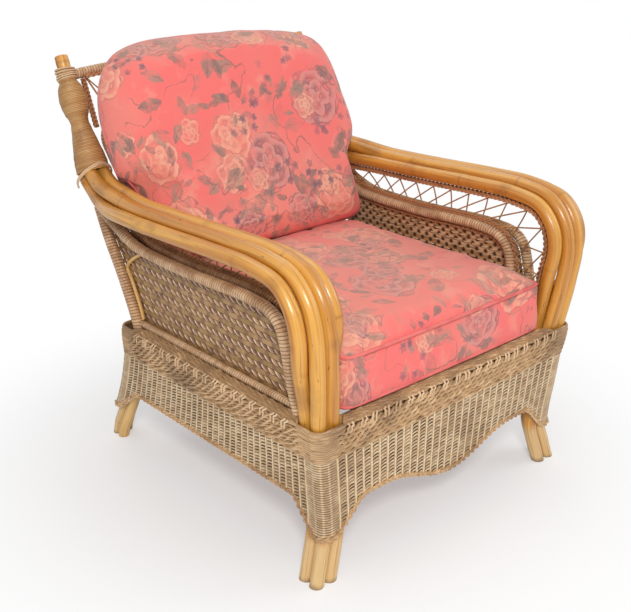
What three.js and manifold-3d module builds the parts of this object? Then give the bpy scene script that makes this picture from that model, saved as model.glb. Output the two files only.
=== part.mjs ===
// An old rattan and wicker lounge armchair with loose cushions.
// Millimetres, +Z up. The sitter faces -Y; "left" is the -X side, "right" the +X side.
//
// How it is built: on each side four rattan poles run side by side from the front foot, up
// through the seat, over the arm and up to a cane-bound back post. A wicker skirt with a
// scalloped hem wraps the seat frame, a woven panel and an open lattice fill each side, and a
// leaning back of the same kind carries a loose back cushion above a boxed seat cushion.
import * as THREE from "three";
import { mergeVertices } from "three/addons/utils/BufferGeometryUtils.js";
import Module from "manifold-3d";

const wasm = await Module();
wasm.setup();

// Clearances
const GAP = 0.4; // between pieces that bear on each other
const POLE_GAP = 1.2; // between neighbouring poles of one arm bundle
const BACK_POLE_GAP = 0.5; // between those of one back leg
const WICKER_CLEAR = 2; // between a leg bundle and the wicker woven round it
const CUSHION_CLEAR = 3; // between a loose cushion and the cane beside it

// Poles
const POLE_D = 28; // arm and front leg poles
const BACK_POLE_D = 24; // back leg poles and stiles
const ARCH_D = 22; // wrapped arches of the side panels
const RAIL_D = 26; // seat frame rails
const SLAT_D = 16; // seat slats
const POLE_SIDES = 8;
const THIN_SIDES = 6;

// Front legs and arms: the centre line of the four-pole bundle on one side
const FOOT_X = 330; // half the distance between the front feet
const FOOT_Y = -356;
const FOOT_FLARE = 0.36; // share of the foot's spread that is left a third of the way up
const WAIST_X = 303; // where the leg is slimmest, under the skirt
const WAIST_Y = -346;
const WAIST_Z = 95;
const SEAT_X = 326; // where the bundle leaves the wicker border
const SEAT_Y = -358;
const SEAT_Z = 326; // top of the wicker border
const ARM_X = 345; // half the distance between the arms' centre lines
const ARM_Z = 599;
const ARM_NOSE_Y = -382; // furthest forward reach of the arm's centre line
const ARM_BEND_R = 110;
const ARM_ROW = 24; // degrees: how far the poles fan out of one flat row along the arm
const ARM_STATIONS = 19;
// From the arm's nose to the post: place along, height above ARM_Z, and turn in to the post
const ARM_RUN = [
  [0.16, 3, 0],
  [0.295, 4, 0],
  [0.51, -1, 0],
  [0.67, -3, 0],
  [0.82, -2, 0.25],
  [0.912, 2, 0.6],
];
const ARM_ENDS = [-4, 12, 30]; // the poles' ends, along the post from the foot of its binding
const INNER_POLE_DEPTH = 92; // how far the innermost pole reaches below the border's top

// The leaning back, as one plane: the line of the posts in side view
const BACK_SEAT_Y = 238; // where the plane crosses the top of the border
const BACK_LEAN = 22.4; // degrees from upright
const POST_X = 325;
const POST_WRAP_Z = 634; // where the arm poles end against the cane binding
const POST_COLLAR_Z = 838; // where the binding ends
const POST_TOP_Z = 866;
const BINDING_FOOT_R = 35;
const BINDING_LOW_R = 33.5; // lower bulge
const BINDING_NECK_R = 19.5;
const BINDING_HIGH_R = 29; // upper bulge
const BINDING_COLLAR_R = 18.5;
const BINDING_SIDES = 12;
// Outside of the binding, from its foot to its collar: radius, and share of its height
const BINDING_PROFILE = [
  [BINDING_FOOT_R, 0],
  [BINDING_LOW_R, 0.12],
  [BINDING_LOW_R - 4, 0.22],
  [BINDING_NECK_R + 4, 0.36],
  [BINDING_NECK_R, 0.5],
  [BINDING_HIGH_R - 4, 0.57],
  [BINDING_HIGH_R, 0.68],
  [BINDING_HIGH_R - 3, 0.8],
  [BINDING_COLLAR_R, 0.88],
  [BINDING_COLLAR_R, 1],
];

// Back legs
const BACK_FOOT_X = 308;
const BACK_FOOT_Y = 358;
const BACK_WAIST_X = 304;
const BACK_WAIST_Y = 316;
const BACK_LEG_X = 322; // centre of the leg bundle at seat height
const BACK_LEG_Y = 222;
const BACK_LEG_TOP = 20; // below the border's top
const LEAN_ALLOWANCE = 4.6; // the back legs lean, so their level section is longer

// Seat frame
const SEAT_CUSHION_GAP = 4; // the cushion rests this far above the border
const SIDE_RAIL_X = 320;
const FRONT_RAIL_SET = 6; // behind the front bundles' centre
const BACK_RAIL_SET = 10; // in front of the back bundles' centre
const SLATS = 7;
const SLAT_SPAN = 480;

// Wicker border and skirt
const BORDER_H = 64;
const BORDER_T = 5.5; // how far the border stands out from the legs
const BORDER_IN = 20; // how far it reaches inwards between the legs
const BORDER_RAMP = [50, 82]; // distance from a leg over which it starts to reach in
const BORDER_KNOT = 1.4; // relief of the knotted strands
const SKIRT_T = 4;
const RIB_DEPTH = 1.8; // how far the skirt's stakes stand out
const SKIRT_RIBS = { front: 17, side: 15, back: 11 };
const BORDER_KNOTS = { front: 8, side: 7, back: 5 };
const CORNER_STEPS = 6;
const HEM_D = 8; // braid along the hem
const HEM_DROP = 1.4; // between the weave and its braid
const HEM_LEG_Z = 98; // the weave's end on the legs
const HEM_MIDDLE_Z = 116; // lowest point of the front's belly
const HEM_PEAK_Z = 162; // top of the front's two arches
const HEM_PEAK_X = 185;
const HEM_SIDE_Z = 168;
const HEM_FRONT_RUN = 92; // distance over which the hem climbs away from a front leg
const HEM_SIDE_RUN = 66;

// Side panels
const OUTER_ARCH = { x: 337, z: 503, noseY: -286, footY: -316, endY: 316, rise: 55 };
const INNER_ARCH = { x: 303, z: 502, noseY: -268, footY: -280, endY: 284, rise: 44 };
const ARCH_BEND = 62;
// Towards the back: place along the chair, and height above the arch's own level
const ARCH_TAIL = [
  [0, 0],
  [110, 1],
  [190, 7],
  [244, 24],
];
const PANEL_X = 318;
const PANEL_T = 6.4;
const PANEL_ROW = 15; // height of one woven row
const PANEL_RIDGE = 1.5;
const STRIP_D = 15; // round strip along the foot of the side panel
const EDGING_D = 8;
const EDGING_TURN = 30; // height of its turn from the arch down the stile
const TRIM_W = 10; // braid under the arm
const TRIM_H = 12;
const LATTICE_X = 306.5;
const LATTICE_T = 3;
const CANE_W = 3.2;
const LATTICE_RIM = 4;
const ARCH_BRAID = 8; // braid between the arch and the open lattice
const LATTICE_CELLS = 16;
const LATTICE_LOW_END_Y = 248; // where its two long edges end, short of the post
const LATTICE_HIGH_END_Y = 278;

// Back
const TOP_RAIL_D = 22;
const TOP_RAIL_Z = 826; // at the posts
const TOP_RAIL_RISE = 16; // along the leaning plane, at the middle
const TOP_RAIL_STATIONS = 12;
const FRAME_D = 18; // bent pole round the woven back panel
const FRAME_TOP_Z = 722;
const FRAME_SHOULDER_Z = 606;
const FRAME_X = 277; // half width above the arms
const FRAME_LOW_X = 262; // half width between the arms
const FRAME_CORNER = 34;
const FRAME_STATIONS = 19;
const BACK_PANEL_T = 7;
const BACK_CELLS = 11;
const BACK_RIM = 8;
const POST_BRAID_D = 13; // braid down the inner side of each post, above the woven panel

// Cushions
const SEAT_CUSHION_X = 287; // half width
const SEAT_CUSHION_FRONT_Y = -380;
const SEAT_CUSHION_BACK_Y = 218;
const SEAT_CUSHION_T = 116;
const SEAT_CUSHION_CROWN = 16;
const SEAT_CUSHION_CORNER = 46;
const BACK_CUSHION_X = 324; // half width above the arms
const BACK_CUSHION_LOW_X = 284; // half width between the arms
const BACK_CUSHION_T = 160;
const BACK_CUSHION_RISE = 576; // top edge, up the leaning plane
const BACK_CUSHION_TOP_X = 300; // half width of its upper corners
const BACK_CUSHION_CORNER = 128;
const BACK_CUSHION_PUFF = 84; // how far its faces draw in towards its edge
const BACK_CUSHION_SQUARE = 0.35; // its lower edge is squarer than the rest
const BACK_CUSHION_SINK = 10.6; // how far it presses below the seat cushion's crown

const { degToRad, lerp, smoothstep, clamp } = THREE.MathUtils;
const V2 = (x, y) => new THREE.Vector2(x, y);
const V3 = (x, y, z) => new THREE.Vector3(x, y, z);
const SIDES = { left: -1, right: 1 };
const LEAN = degToRad(BACK_LEAN);
const backPlaneY = (z) => BACK_SEAT_Y + (z - SEAT_Z) * Math.tan(LEAN);
const upBack = (z) => (z - SEAT_Z) / Math.cos(LEAN); // height measured along the leaning plane

// Materials
const finish = (color, roughness) => new THREE.MeshStandardMaterial({ color, roughness, metalness: 0 });
const POLISHED = finish(0xc98a3c, 0.35);
const BARE = finish(0xc69a55, 0.5);
const WRAPPED = finish(0xb98a58, 0.6);
const WICKER = finish(0x9c7a50, 0.75);
const CANE = finish(0xa9793f, 0.6);
const FABRIC = finish(0xe87f76, 0.9);

const chair = new THREE.Group();

// The leaning plane as a group: its x is across, its y is up the plane, its z points forward
const leaning = new THREE.Group();
leaning.position.set(0, BACK_SEAT_Y, SEAT_Z);
leaning.rotation.x = Math.PI / 2 - LEAN;
chair.add(leaning);
leaning.updateMatrixWorld(true);

// A side of the chair as a group: its x runs back, its y runs up, its z points right
const upright = new THREE.Matrix4().makeBasis(V3(0, 1, 0), V3(0, 0, 1), V3(1, 0, 0));

function piece(name, geometry, material, parent = chair) {
  const mesh = new THREE.Mesh(geometry, material);
  mesh.name = name;
  parent.add(mesh);
  return mesh;
}

// Cutting and joining
function solid(geometry) {
  const plain = new THREE.BufferGeometry();
  const source = geometry.index ? geometry.toNonIndexed() : geometry;
  plain.setAttribute("position", source.getAttribute("position").clone());
  const merged = mergeVertices(plain, 1e-3);
  return new wasm.Manifold(
    new wasm.Mesh({
      numProp: 3,
      vertProperties: new Float32Array(merged.attributes.position.array),
      triVerts: new Uint32Array(merged.index.array),
    }),
  );
}

function geometryOf(manifold) {
  const mesh = manifold.getMesh();
  const geometry = new THREE.BufferGeometry();
  geometry.setAttribute("position", new THREE.BufferAttribute(mesh.vertProperties, 3));
  geometry.setIndex(new THREE.BufferAttribute(mesh.triVerts, 1));
  return geometry;
}

const cut = (geometry, ...tools) =>
  geometryOf(tools.reduce((body, tool) => body.subtract(solid(tool)), solid(geometry)));
const common = (first, second) => geometryOf(solid(first).intersect(solid(second)));

const FAR = 4000; // size of a cutting block
const below = (z) => new THREE.BoxGeometry(FAR, FAR, FAR).translate(0, 0, z - FAR / 2);

// Everything up the posts from a given height
function beyondPost(z) {
  const block = new THREE.BoxGeometry(FAR, FAR, FAR).translate(0, upBack(z) + FAR / 2, 0);
  return block.applyMatrix4(leaning.matrixWorld);
}

// A closed body from rings of points. A loop's last ring meets its first; otherwise both ends
// are capped.
function ringBody(rings, loop) {
  const count = rings[0].length;
  const points = rings.flat();
  const index = [];
  for (let i = 0; i < (loop ? rings.length : rings.length - 1); i++) {
    for (let j = 0; j < count; j++) {
      const next = ((i + 1) % rings.length) * count;
      const a = i * count + j;
      const b = i * count + ((j + 1) % count);
      const c = next + ((j + 1) % count);
      const d = next + j;
      index.push(a, b, c, a, c, d);
    }
  }
  if (!loop) {
    const cap = (ring, offset, flip) => {
      points.push(ring.reduce((sum, p) => sum.add(p), V3(0, 0, 0)).divideScalar(count));
      for (let j = 0; j < count; j++) {
        const pair = [offset + j, offset + ((j + 1) % count)];
        index.push(points.length - 1, ...(flip ? pair.reverse() : pair));
      }
    };
    cap(rings[0], 0, true);
    cap(rings[rings.length - 1], (rings.length - 1) * count, false);
  }
  const [a, b, c] = [V3(0, 0, 0), V3(0, 0, 0), V3(0, 0, 0)];
  let volume = 0;
  for (let i = 0; i < index.length; i += 3) {
    a.copy(points[index[i]]);
    b.copy(points[index[i + 1]]);
    c.copy(points[index[i + 2]]);
    volume += a.dot(b.cross(c));
  }
  if (volume < 0) index.reverse();
  const geometry = new THREE.BufferGeometry().setFromPoints(points);
  geometry.setIndex(index);
  return geometry;
}

// A curve through given stations, so that neighbouring poles keep parallel facets
class StationCurve extends THREE.Curve {
  constructor(stations) {
    super();
    this.stations = stations;
  }
  getPoint(t, target = new THREE.Vector3()) {
    const at = clamp(t, 0, 1) * (this.stations.length - 1);
    const i = Math.min(Math.floor(at), this.stations.length - 2);
    return target.copy(this.stations[i]).lerp(this.stations[i + 1], at - i);
  }
  getUtoTmapping(u) {
    return u;
  }
}

// From a pole's centre line to the flats of its facets
const flatReach = (diameter, sides = POLE_SIDES) => (diameter / 2) * Math.cos(Math.PI / sides);

function roundShape(width, height, sides) {
  const points = [];
  for (let i = 0; i < sides; i++) {
    const a = ((i + 0.5) / sides) * 2 * Math.PI;
    points.push(V2((Math.cos(a) * width) / 2, (Math.sin(a) * height) / 2));
  }
  return new THREE.Shape(points);
}

function rod(stations, diameter, sides = POLE_SIDES, height = diameter) {
  return new THREE.ExtrudeGeometry(roundShape(diameter, height, sides), {
    steps: stations.length - 1,
    extrudePath: new StationCurve(stations),
  });
}

const smooth = (points) => new THREE.CatmullRomCurve3(points, false, "centripetal");

// Places along a curve, closer together where it bends
const STRAIGHT_STEP = 75;
const BEND_STEP = 17; // degrees
function spread(curve, count) {
  const samples = 600;
  const weight = [0];
  let before = curve.getTangent(0);
  for (let i = 1; i <= samples; i++) {
    const step = curve.getPoint(i / samples).distanceTo(curve.getPoint((i - 1) / samples));
    const after = curve.getTangent(i / samples);
    weight.push(weight[i - 1] + step / STRAIGHT_STEP + before.angleTo(after) / degToRad(BEND_STEP));
    before = after;
  }
  const out = [];
  for (let k = 0; k <= count; k++) {
    const goal = (weight[samples] * k) / count;
    const i = Math.max(1, weight.findIndex((w) => w >= goal - 1e-9));
    const part = (goal - weight[i - 1]) / (weight[i] - weight[i - 1] || 1);
    out.push((i - 1 + part) / samples);
  }
  return out;
}

const along = (curve, count) => spread(curve, count).map((t) => curve.getPoint(t));

// Where a pole that starts at the floor first reaches a height, or its top if it ends below it
function atHeight(stations, z) {
  const i = stations.findIndex((p) => p.z >= z);
  if (i < 0) return stations[stations.length - 1].clone();
  const part = (z - stations[i - 1].z) / (stations[i].z - stations[i - 1].z);
  return stations[i - 1].clone().lerp(stations[i], part);
}

// The arm bundle
const UNDERGROUND = -16; // leg poles start below the floor, then are cut level with it
function armLine(side) {
  const bend = ARM_BEND_R;
  const rearY = backPlaneY(POST_WRAP_Z);
  const leg = (part, z) => V3(side * lerp(FOOT_X, WAIST_X, part), lerp(FOOT_Y, WAIST_Y, part), z);
  const rise = (part, z) => V3(side * lerp(SEAT_X, ARM_X, part), lerp(SEAT_Y, ARM_NOSE_Y, part), z);
  const knee = V3(lerp(WAIST_X, SEAT_X, 0.4), lerp(WAIST_Y, SEAT_Y, 0.4), lerp(WAIST_Z, SEAT_Z, 0.48));
  return smooth([
    leg(-FOOT_FLARE / 2, UNDERGROUND),
    leg(FOOT_FLARE, WAIST_Z / 3),
    leg(1, WAIST_Z),
    knee.multiply(V3(side, 1, 1)),
    rise(0, SEAT_Z),
    rise(0.6, lerp(SEAT_Z, ARM_Z - bend, 0.6)),
    rise(0.95, ARM_Z - bend * 0.92),
    V3(side * ARM_X, ARM_NOSE_Y + bend * 0.13, ARM_Z - bend * 0.46),
    V3(side * ARM_X, ARM_NOSE_Y + bend * 0.46, ARM_Z - bend * 0.11),
    ...ARM_RUN.map(([along, above, turned]) =>
      V3(side * lerp(ARM_X, POST_X, turned), lerp(ARM_NOSE_Y, rearY, along), ARM_Z + above),
    ),
    V3(side * lerp(ARM_X, POST_X, 0.88), lerp(ARM_NOSE_Y, rearY, 0.965), lerp(ARM_Z, POST_WRAP_Z, 0.42)),
    ...ARM_ENDS.map((up) => V3(side * POST_X, backPlaneY(POST_WRAP_Z + up), POST_WRAP_Z + up)),
  ]);
}

// How far the bundle closes up: 90 degrees is two by two, less is a low arch of four
function closing(point) {
  const rearY = backPlaneY(POST_WRAP_Z);
  const fromSeat = 1 - smoothstep(point.z, SEAT_Z - 10, ARM_Z - ARM_BEND_R * 0.6);
  const toPost = smoothstep(point.y, lerp(ARM_NOSE_Y, rearY, 0.685), lerp(ARM_NOSE_Y, rearY, 0.973));
  return degToRad(lerp(ARM_ROW, 90, Math.max(point.y < 0 ? fromSeat : 0, toPost)));
}

const PITCH = POLE_D + POLE_GAP;
const POLES = ["outer", "upper_outer", "upper_inner", "inner"];
const INNER = POLES.length - 1;

// Place of pole k in the bundle's cross-section: outwards, and over the bend
function bundlePlace(k, turn) {
  const run = PITCH * Math.cos(turn);
  const rise = PITCH * Math.sin(turn);
  const outward = [0, -run, -run - PITCH, -2 * run - PITCH][k] + run + PITCH / 2;
  const over = (k === 1 || k === 2 ? rise : 0) - rise / 2;
  return [outward, over];
}

function bundle(side) {
  const line = armLine(side);
  return spread(line, ARM_STATIONS).map((t) => {
    const centre = line.getPoint(t);
    const tangent = line.getTangent(t);
    const outward = V3(side, 0, 0).addScaledVector(tangent, -side * tangent.x).normalize();
    const over = new THREE.Vector3().crossVectors(outward, tangent).multiplyScalar(side);
    const turn = closing(centre);
    const at = (k, extra = 0) => {
      const [a, b] = bundlePlace(k, turn);
      return centre.clone().addScaledVector(outward, a).addScaledVector(over, b + extra);
    };
    return { centre, at };
  });
}

const bundles = { left: bundle(-1), right: bundle(1) };

const armPole = (name, k, swell = 0) => rod(bundles[name].map((s) => s.at(k)), POLE_D + swell);

function addArms() {
  for (const name of Object.keys(SIDES)) {
    POLES.forEach((pole, k) => {
      const foot = k === INNER ? SEAT_Z - INNER_POLE_DEPTH : 0;
      const trimmed = cut(armPole(name, k), below(foot), beyondPost(POST_WRAP_Z - GAP));
      piece(`arm_pole_${pole}_${name}`, trimmed, POLISHED);
    });
  }
}

// Back legs: three poles on each side, in an L. The one at the side runs on up as the stile.
const BACK_PITCH = 2 * flatReach(BACK_POLE_D) + BACK_POLE_GAP;
const BACK_LEG_STATIONS = 9;

const backLegLine = (side) => {
  const foot = (part, z) =>
    V3(side * lerp(BACK_FOOT_X, BACK_WAIST_X, part), lerp(BACK_FOOT_Y, BACK_WAIST_Y, part), z);
  const shin = (part, z) =>
    V3(side * lerp(BACK_WAIST_X, BACK_LEG_X, part), lerp(BACK_WAIST_Y, BACK_LEG_Y, part), z);
  return smooth([
    foot(-0.14, UNDERGROUND),
    foot(0.14, WAIST_Z / 4),
    foot(1, WAIST_Z),
    shin(0.56, (WAIST_Z + SEAT_Z) * 0.42),
    shin(0.96, SEAT_Z - 3 * BACK_LEG_TOP),
    shin(1, SEAT_Z - BACK_LEG_TOP),
  ]);
};

function backLegPole(side, out, back) {
  const line = backLegLine(side);
  return spread(line, BACK_LEG_STATIONS).map((t) => {
    const tangent = line.getTangent(t);
    const behind = V3(0, 1, 0).addScaledVector(tangent, -tangent.y).normalize();
    const beside = V3(side, 0, 0).addScaledVector(tangent, -side * tangent.x).normalize();
    const shift = beside.multiplyScalar(out).addScaledVector(behind, back);
    return line.getPoint(t).addScaledVector(shift, BACK_PITCH / 2);
  });
}

// The stile swings back to pass under the arm just ahead of the post
const STILE_X = BACK_LEG_X + BACK_PITCH / 2;
const STILE_FOOT_Y = BACK_LEG_Y - BACK_PITCH / 2;
const STILE_TOP_Z = ARM_Z - POLE_D - 6;
const stileUpper = [
  [0.1, 0.04],
  [0.26, 0.18],
  [0.5, 0.44],
  [0.76, 0.76],
  [1, 1],
].map(([rise, swing]) => [
  lerp(STILE_FOOT_Y, backPlaneY(STILE_TOP_Z), swing),
  lerp(SEAT_Z - BACK_LEG_TOP, STILE_TOP_Z, rise),
]);

function stile(side, swell = 0) {
  const leg = backLegPole(side, 1, -1);
  const upper = stileUpper.map(([y, z]) => V3(side * STILE_X, y, z));
  return rod([...leg, ...along(smooth([leg[leg.length - 1], ...upper]), 7).slice(1)], BACK_POLE_D + swell);
}

function addBackLegs() {
  for (const [name, side] of Object.entries(SIDES)) {
    for (const [which, out] of [["corner", 1], ["inner", -1]]) {
      const leg = rod(backLegPole(side, out, 1), BACK_POLE_D);
      piece(`back_leg_pole_${which}_${name}`, cut(leg, below(0)), BARE);
    }
    piece(`back_leg_stile_${name}`, cut(stile(side), below(0)), WRAPPED);
  }
}

// Posts and their cane bindings, which stand in the leaning plane
function addPosts() {
  const foot = upBack(POST_WRAP_Z);
  const top = upBack(POST_COLLAR_Z);
  const bore = POLE_D / 2 / Math.cos(Math.PI / BINDING_SIDES) + GAP;
  const outside = BINDING_PROFILE.map(([radius, part]) => V2(radius, lerp(foot, top, part)));
  const profile = [V2(bore, foot), ...outside, V2(bore, top), V2(bore, foot)];
  for (const [name, side] of Object.entries(SIDES)) {
    const post = rod([V3(0, foot, 0), V3(0, upBack(POST_TOP_Z), 0)], POLE_D, BINDING_SIDES);
    piece(`post_pole_${name}`, post, POLISHED, leaning).position.x = side * POST_X;
    const binding = new THREE.LatheGeometry(profile, BINDING_SIDES);
    piece(`post_binding_${name}`, binding, WRAPPED, leaning).position.x = side * POST_X;
  }
}

// Seat frame. Its rails are notched round the poles that they meet.
const SLAT_Z = SEAT_Z + SEAT_CUSHION_GAP - GAP - flatReach(SLAT_D);
const RAIL_Z = SLAT_Z - flatReach(SLAT_D) - GAP - flatReach(RAIL_D);
const RAIL_TOP = RAIL_Z + flatReach(RAIL_D) + GAP;
const FRONT_RAIL_Y = SEAT_Y + FRONT_RAIL_SET;
const BACK_RAIL_Y = BACK_LEG_Y - BACK_RAIL_SET;
const straight = (a, b, diameter) => rod([a, b], diameter);

function addSeatFrame() {
  const notch = 2 * GAP;
  const innerX = SEAT_X - PITCH / 2; // centre of the poles that stand inwards
  const innerY = SEAT_Y + PITCH / 2;
  const polesOf = (name) => POLES.map((pole, k) => armPole(name, k, notch));
  const frontPoles = { left: polesOf("left"), right: polesOf("right") };
  const sideRail = (side, swell = 0) => {
    const ends = [innerY, STILE_FOOT_Y].map((y) => V3(side * SIDE_RAIL_X, y, RAIL_Z));
    return rod(ends, RAIL_D + swell);
  };
  const front = straight(V3(-innerX, FRONT_RAIL_Y, RAIL_Z), V3(innerX, FRONT_RAIL_Y, RAIL_Z), RAIL_D);
  piece("seat_rail_front", cut(front, ...frontPoles.left, ...frontPoles.right), BARE);
  for (const [name, side] of Object.entries(SIDES)) {
    piece(`seat_rail_${name}`, cut(sideRail(side), ...frontPoles[name], stile(side, notch)), BARE);
  }
  const backEnd = SIDE_RAIL_X;
  const back = straight(V3(-backEnd, BACK_RAIL_Y, RAIL_Z), V3(backEnd, BACK_RAIL_Y, RAIL_Z), RAIL_D);
  const legs = [-1, 1].map((side) => rod(backLegPole(side, -1, 1), BACK_POLE_D + notch));
  piece("seat_rail_back", cut(back, sideRail(-1, notch), sideRail(1, notch), ...legs), BARE);
  for (let i = 0; i < SLATS; i++) {
    const x = (i / (SLATS - 1) - 0.5) * SLAT_SPAN;
    const ends = [FRONT_RAIL_Y - RAIL_D / 4, BACK_RAIL_Y + RAIL_D / 4].map((y) => V3(x, y, SLAT_Z));
    const slat = rod(ends, SLAT_D);
    piece(`seat_slat_${i + 1}`, slat, BARE);
  }
}

// The wicker runs round the corner poles of the four legs, which lean, so its outline changes
// with height.
const FRONT_CORNER = 1; // the arm pole at the outer front of its bundle
const frontCorner = (name) => bundles[name].map((s) => s.at(FRONT_CORNER));
const backReach = BACK_POLE_D / 2 + LEAN_ALLOWANCE;
const CORNERS = [
  { pole: frontCorner("left"), radius: POLE_D / 2, edge: "front" },
  { pole: frontCorner("right"), radius: POLE_D / 2, edge: "side" },
  { pole: backLegPole(1, 1, 1), radius: backReach, edge: "back" },
  { pole: backLegPole(-1, 1, 1), radius: backReach, edge: "side" },
];

function cornerPoint(corner, angle, z, offset) {
  const centre = atHeight(corner.pole, z);
  const reach = corner.radius + WICKER_CLEAR + offset;
  return V3(centre.x + Math.cos(angle) * reach, centre.y + Math.sin(angle) * reach, z);
}

// Columns round the chair. steps gives how many lie along each edge.
function columns(steps, cornerSteps) {
  const out = [];
  CORNERS.forEach((corner, i) => {
    const next = CORNERS[(i + 1) % CORNERS.length];
    const start = Math.PI + (i * Math.PI) / 2;
    const end = start + Math.PI / 2;
    for (let s = 0; s <= cornerSteps; s++) {
      const angle = lerp(start, end, s / cornerSteps);
      const at = (z, offset) => cornerPoint(corner, angle, z, offset);
      out.push({ at, edge: corner.edge, away: 0, x: 0 });
    }
    const count = steps[corner.edge];
    for (let s = 1; s < count; s++) {
      const at = (z, offset) =>
        cornerPoint(corner, end, z, offset).lerp(cornerPoint(next, end, z, offset), s / count);
      const middle = at(HEM_SIDE_Z, 0);
      const away = Math.min(
        middle.distanceTo(cornerPoint(corner, end, HEM_SIDE_Z, 0)),
        middle.distanceTo(cornerPoint(next, end, HEM_SIDE_Z, 0)),
      );
      out.push({ at, edge: corner.edge, away, x: middle.x });
    }
  });
  return out;
}

function hemHeight(column) {
  if (column.away === 0) return HEM_LEG_Z;
  if (column.edge !== "front") return lerp(HEM_LEG_Z, HEM_SIDE_Z, smoothstep(column.away, 0, HEM_SIDE_RUN));
  const belly = (1 - Math.cos(Math.PI * Math.min(Math.abs(column.x) / HEM_PEAK_X, 1))) / 2;
  const level = lerp(HEM_MIDDLE_Z, HEM_PEAK_Z, belly);
  return lerp(HEM_LEG_Z, level, smoothstep(column.away, 0, HEM_FRONT_RUN));
}

const doubled = (counts) => Object.fromEntries(Object.entries(counts).map(([edge, n]) => [edge, 2 * n]));

function addWicker() {
  const borderFoot = SEAT_Z - BORDER_H;
  const skirtTop = borderFoot - GAP;
  const levels = [0, 0.5, 1];
  const round = columns(doubled(SKIRT_RIBS), CORNER_STEPS);
  const feet = round.map(hemHeight);
  const between = (i) => (feet[i - 1] + feet[(i + 1) % feet.length]) / 2;
  const skirt = round.map((column, i) => {
    const outside = SKIRT_T + (i % 2) * RIB_DEPTH;
    const foot = i % 2 ? between(i) : feet[i];
    const heights = levels.map((part) => lerp(foot, skirtTop, part));
    const outer = heights.map((z) => column.at(z, outside));
    const inner = heights.map((z) => column.at(z, 0)).reverse();
    return [...outer, ...inner];
  });
  piece("skirt_weave", ringBody(skirt, true), WICKER);

  const border = columns(doubled(BORDER_KNOTS), 4).map((column, i) => {
    const outside = BORDER_T + (i % 2 ? BORDER_KNOT : 0);
    const inside = -BORDER_IN * smoothstep(column.away, ...BORDER_RAMP);
    const bevel = BORDER_T / 2;
    return [
      column.at(borderFoot, outside - bevel),
      column.at(borderFoot + bevel, outside),
      column.at(SEAT_Z - bevel, outside),
      column.at(SEAT_Z, outside - bevel),
      column.at(SEAT_Z, inside),
      column.at(borderFoot, inside * 0.2),
    ];
  });
  piece("skirt_border", ringBody(border, true), WICKER);

  const braid = HEM_D / 2;
  const hem = round.filter((column, i) => i % 2 === 0).map((column) => {
    const foot = hemHeight(column);
    const at = (rise, offset) => column.at(foot, offset).setZ(foot - HEM_DROP - braid + rise);
    return [at(braid, braid), at(0, HEM_D), at(-braid, braid), at(0, 0)];
  });
  piece("skirt_hem_braid", ringBody(hem, true), WICKER);
}

// Side arches, in side view: each rises ahead, bends back and runs to the stile
function archLine({ z, noseY, footY, endY, rise }, footZ) {
  const bend = ARCH_BEND;
  return smooth([
    V3(footY, footZ, 0),
    V3(lerp(noseY, footY, 0.45), lerp(footZ, z - bend, 0.5), 0),
    V3(noseY, z - bend, 0),
    V3(noseY + bend * 0.22, z - bend * 0.4, 0),
    V3(noseY + bend * 0.62, z - bend * 0.07, 0),
    V3(noseY + bend * 1.5, z + 4, 0),
    ...ARCH_TAIL.map(([y, above]) => V3(y, z + above, 0)),
    V3(endY, z + rise, 0),
  ]);
}

const outerArch = archLine(OUTER_ARCH, SEAT_Z - 6);
const innerArch = archLine(INNER_ARCH, RAIL_Z);
const ARCH_STATIONS = 12;
const arch = (side, x, line, swell = 0) =>
  rod(along(line, ARCH_STATIONS).map((p) => V3(side * x, p.x, p.y)), ARCH_D + swell);

// The line at a distance from a flat line, to its left as it runs
function beside(curve, distance, count) {
  return spread(curve, count).map((t) => {
    const tangent = curve.getTangent(t);
    return curve.getPoint(t).add(V3(-tangent.y, tangent.x, 0).multiplyScalar(distance));
  });
}

const stileCurve = smooth(stileUpper.map(([y, z]) => V3(y, z, 0)));
const stileFront = (distance, count) => beside(stileCurve, distance, count);

const plate = (outline, depth) => {
  const shape = new THREE.Shape(outline);
  return new THREE.ExtrudeGeometry(shape, { depth, bevelEnabled: false }).translate(0, 0, -depth / 2);
};

// A woven sheet with its rows as ridges, cut to an outline
function weave(outline, thickness, rowHeight, ridge) {
  const box = new THREE.Box2().setFromPoints(outline);
  const rows = Math.ceil((box.max.y - box.min.y) / rowHeight);
  const face = (shift) => {
    const points = [];
    for (let i = 0; i <= 2 * rows; i++) {
      const depth = thickness / 2 - ((i + shift) % 2) * ridge;
      points.push(V2(depth, box.min.y + (i * rowHeight) / 2));
    }
    return points;
  };
  const back = face(1).map((p) => V2(-p.x, p.y));
  const profile = new THREE.Shape([...face(0), ...back.reverse()]);
  const length = box.max.x - box.min.x;
  const rowsBody = new THREE.ExtrudeGeometry(profile, { depth: length, bevelEnabled: false });
  rowsBody.rotateY(Math.PI / 2);
  rowsBody.translate(box.min.x, 0, 0);
  return common(rowsBody, plate(outline, 2 * thickness));
}

const flat = (points) => points.map((p) => V2(p.x, p.y));
const evenly = (points, count) => flat(smooth(points.map((p) => V3(p.x, p.y, 0))).getSpacedPoints(count));

// A convex outline with every edge moved inwards
function shrunk(points, distance) {
  const turn = Math.sign(points[1].clone().sub(points[0]).cross(points[2].clone().sub(points[1])));
  const edges = points.map((p, i) => {
    const direction = points[(i + 1) % points.length].clone().sub(p).normalize();
    const inwards = V2(-direction.y, direction.x).multiplyScalar(turn * distance);
    return { from: p.clone().add(inwards), direction };
  });
  return edges.map((edge, i) => {
    const before = edges[(i + edges.length - 1) % edges.length];
    const apart = edge.from.clone().sub(before.from);
    const run = apart.cross(edge.direction) / before.direction.cross(edge.direction);
    return before.from.clone().addScaledVector(before.direction, run);
  });
}

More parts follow.
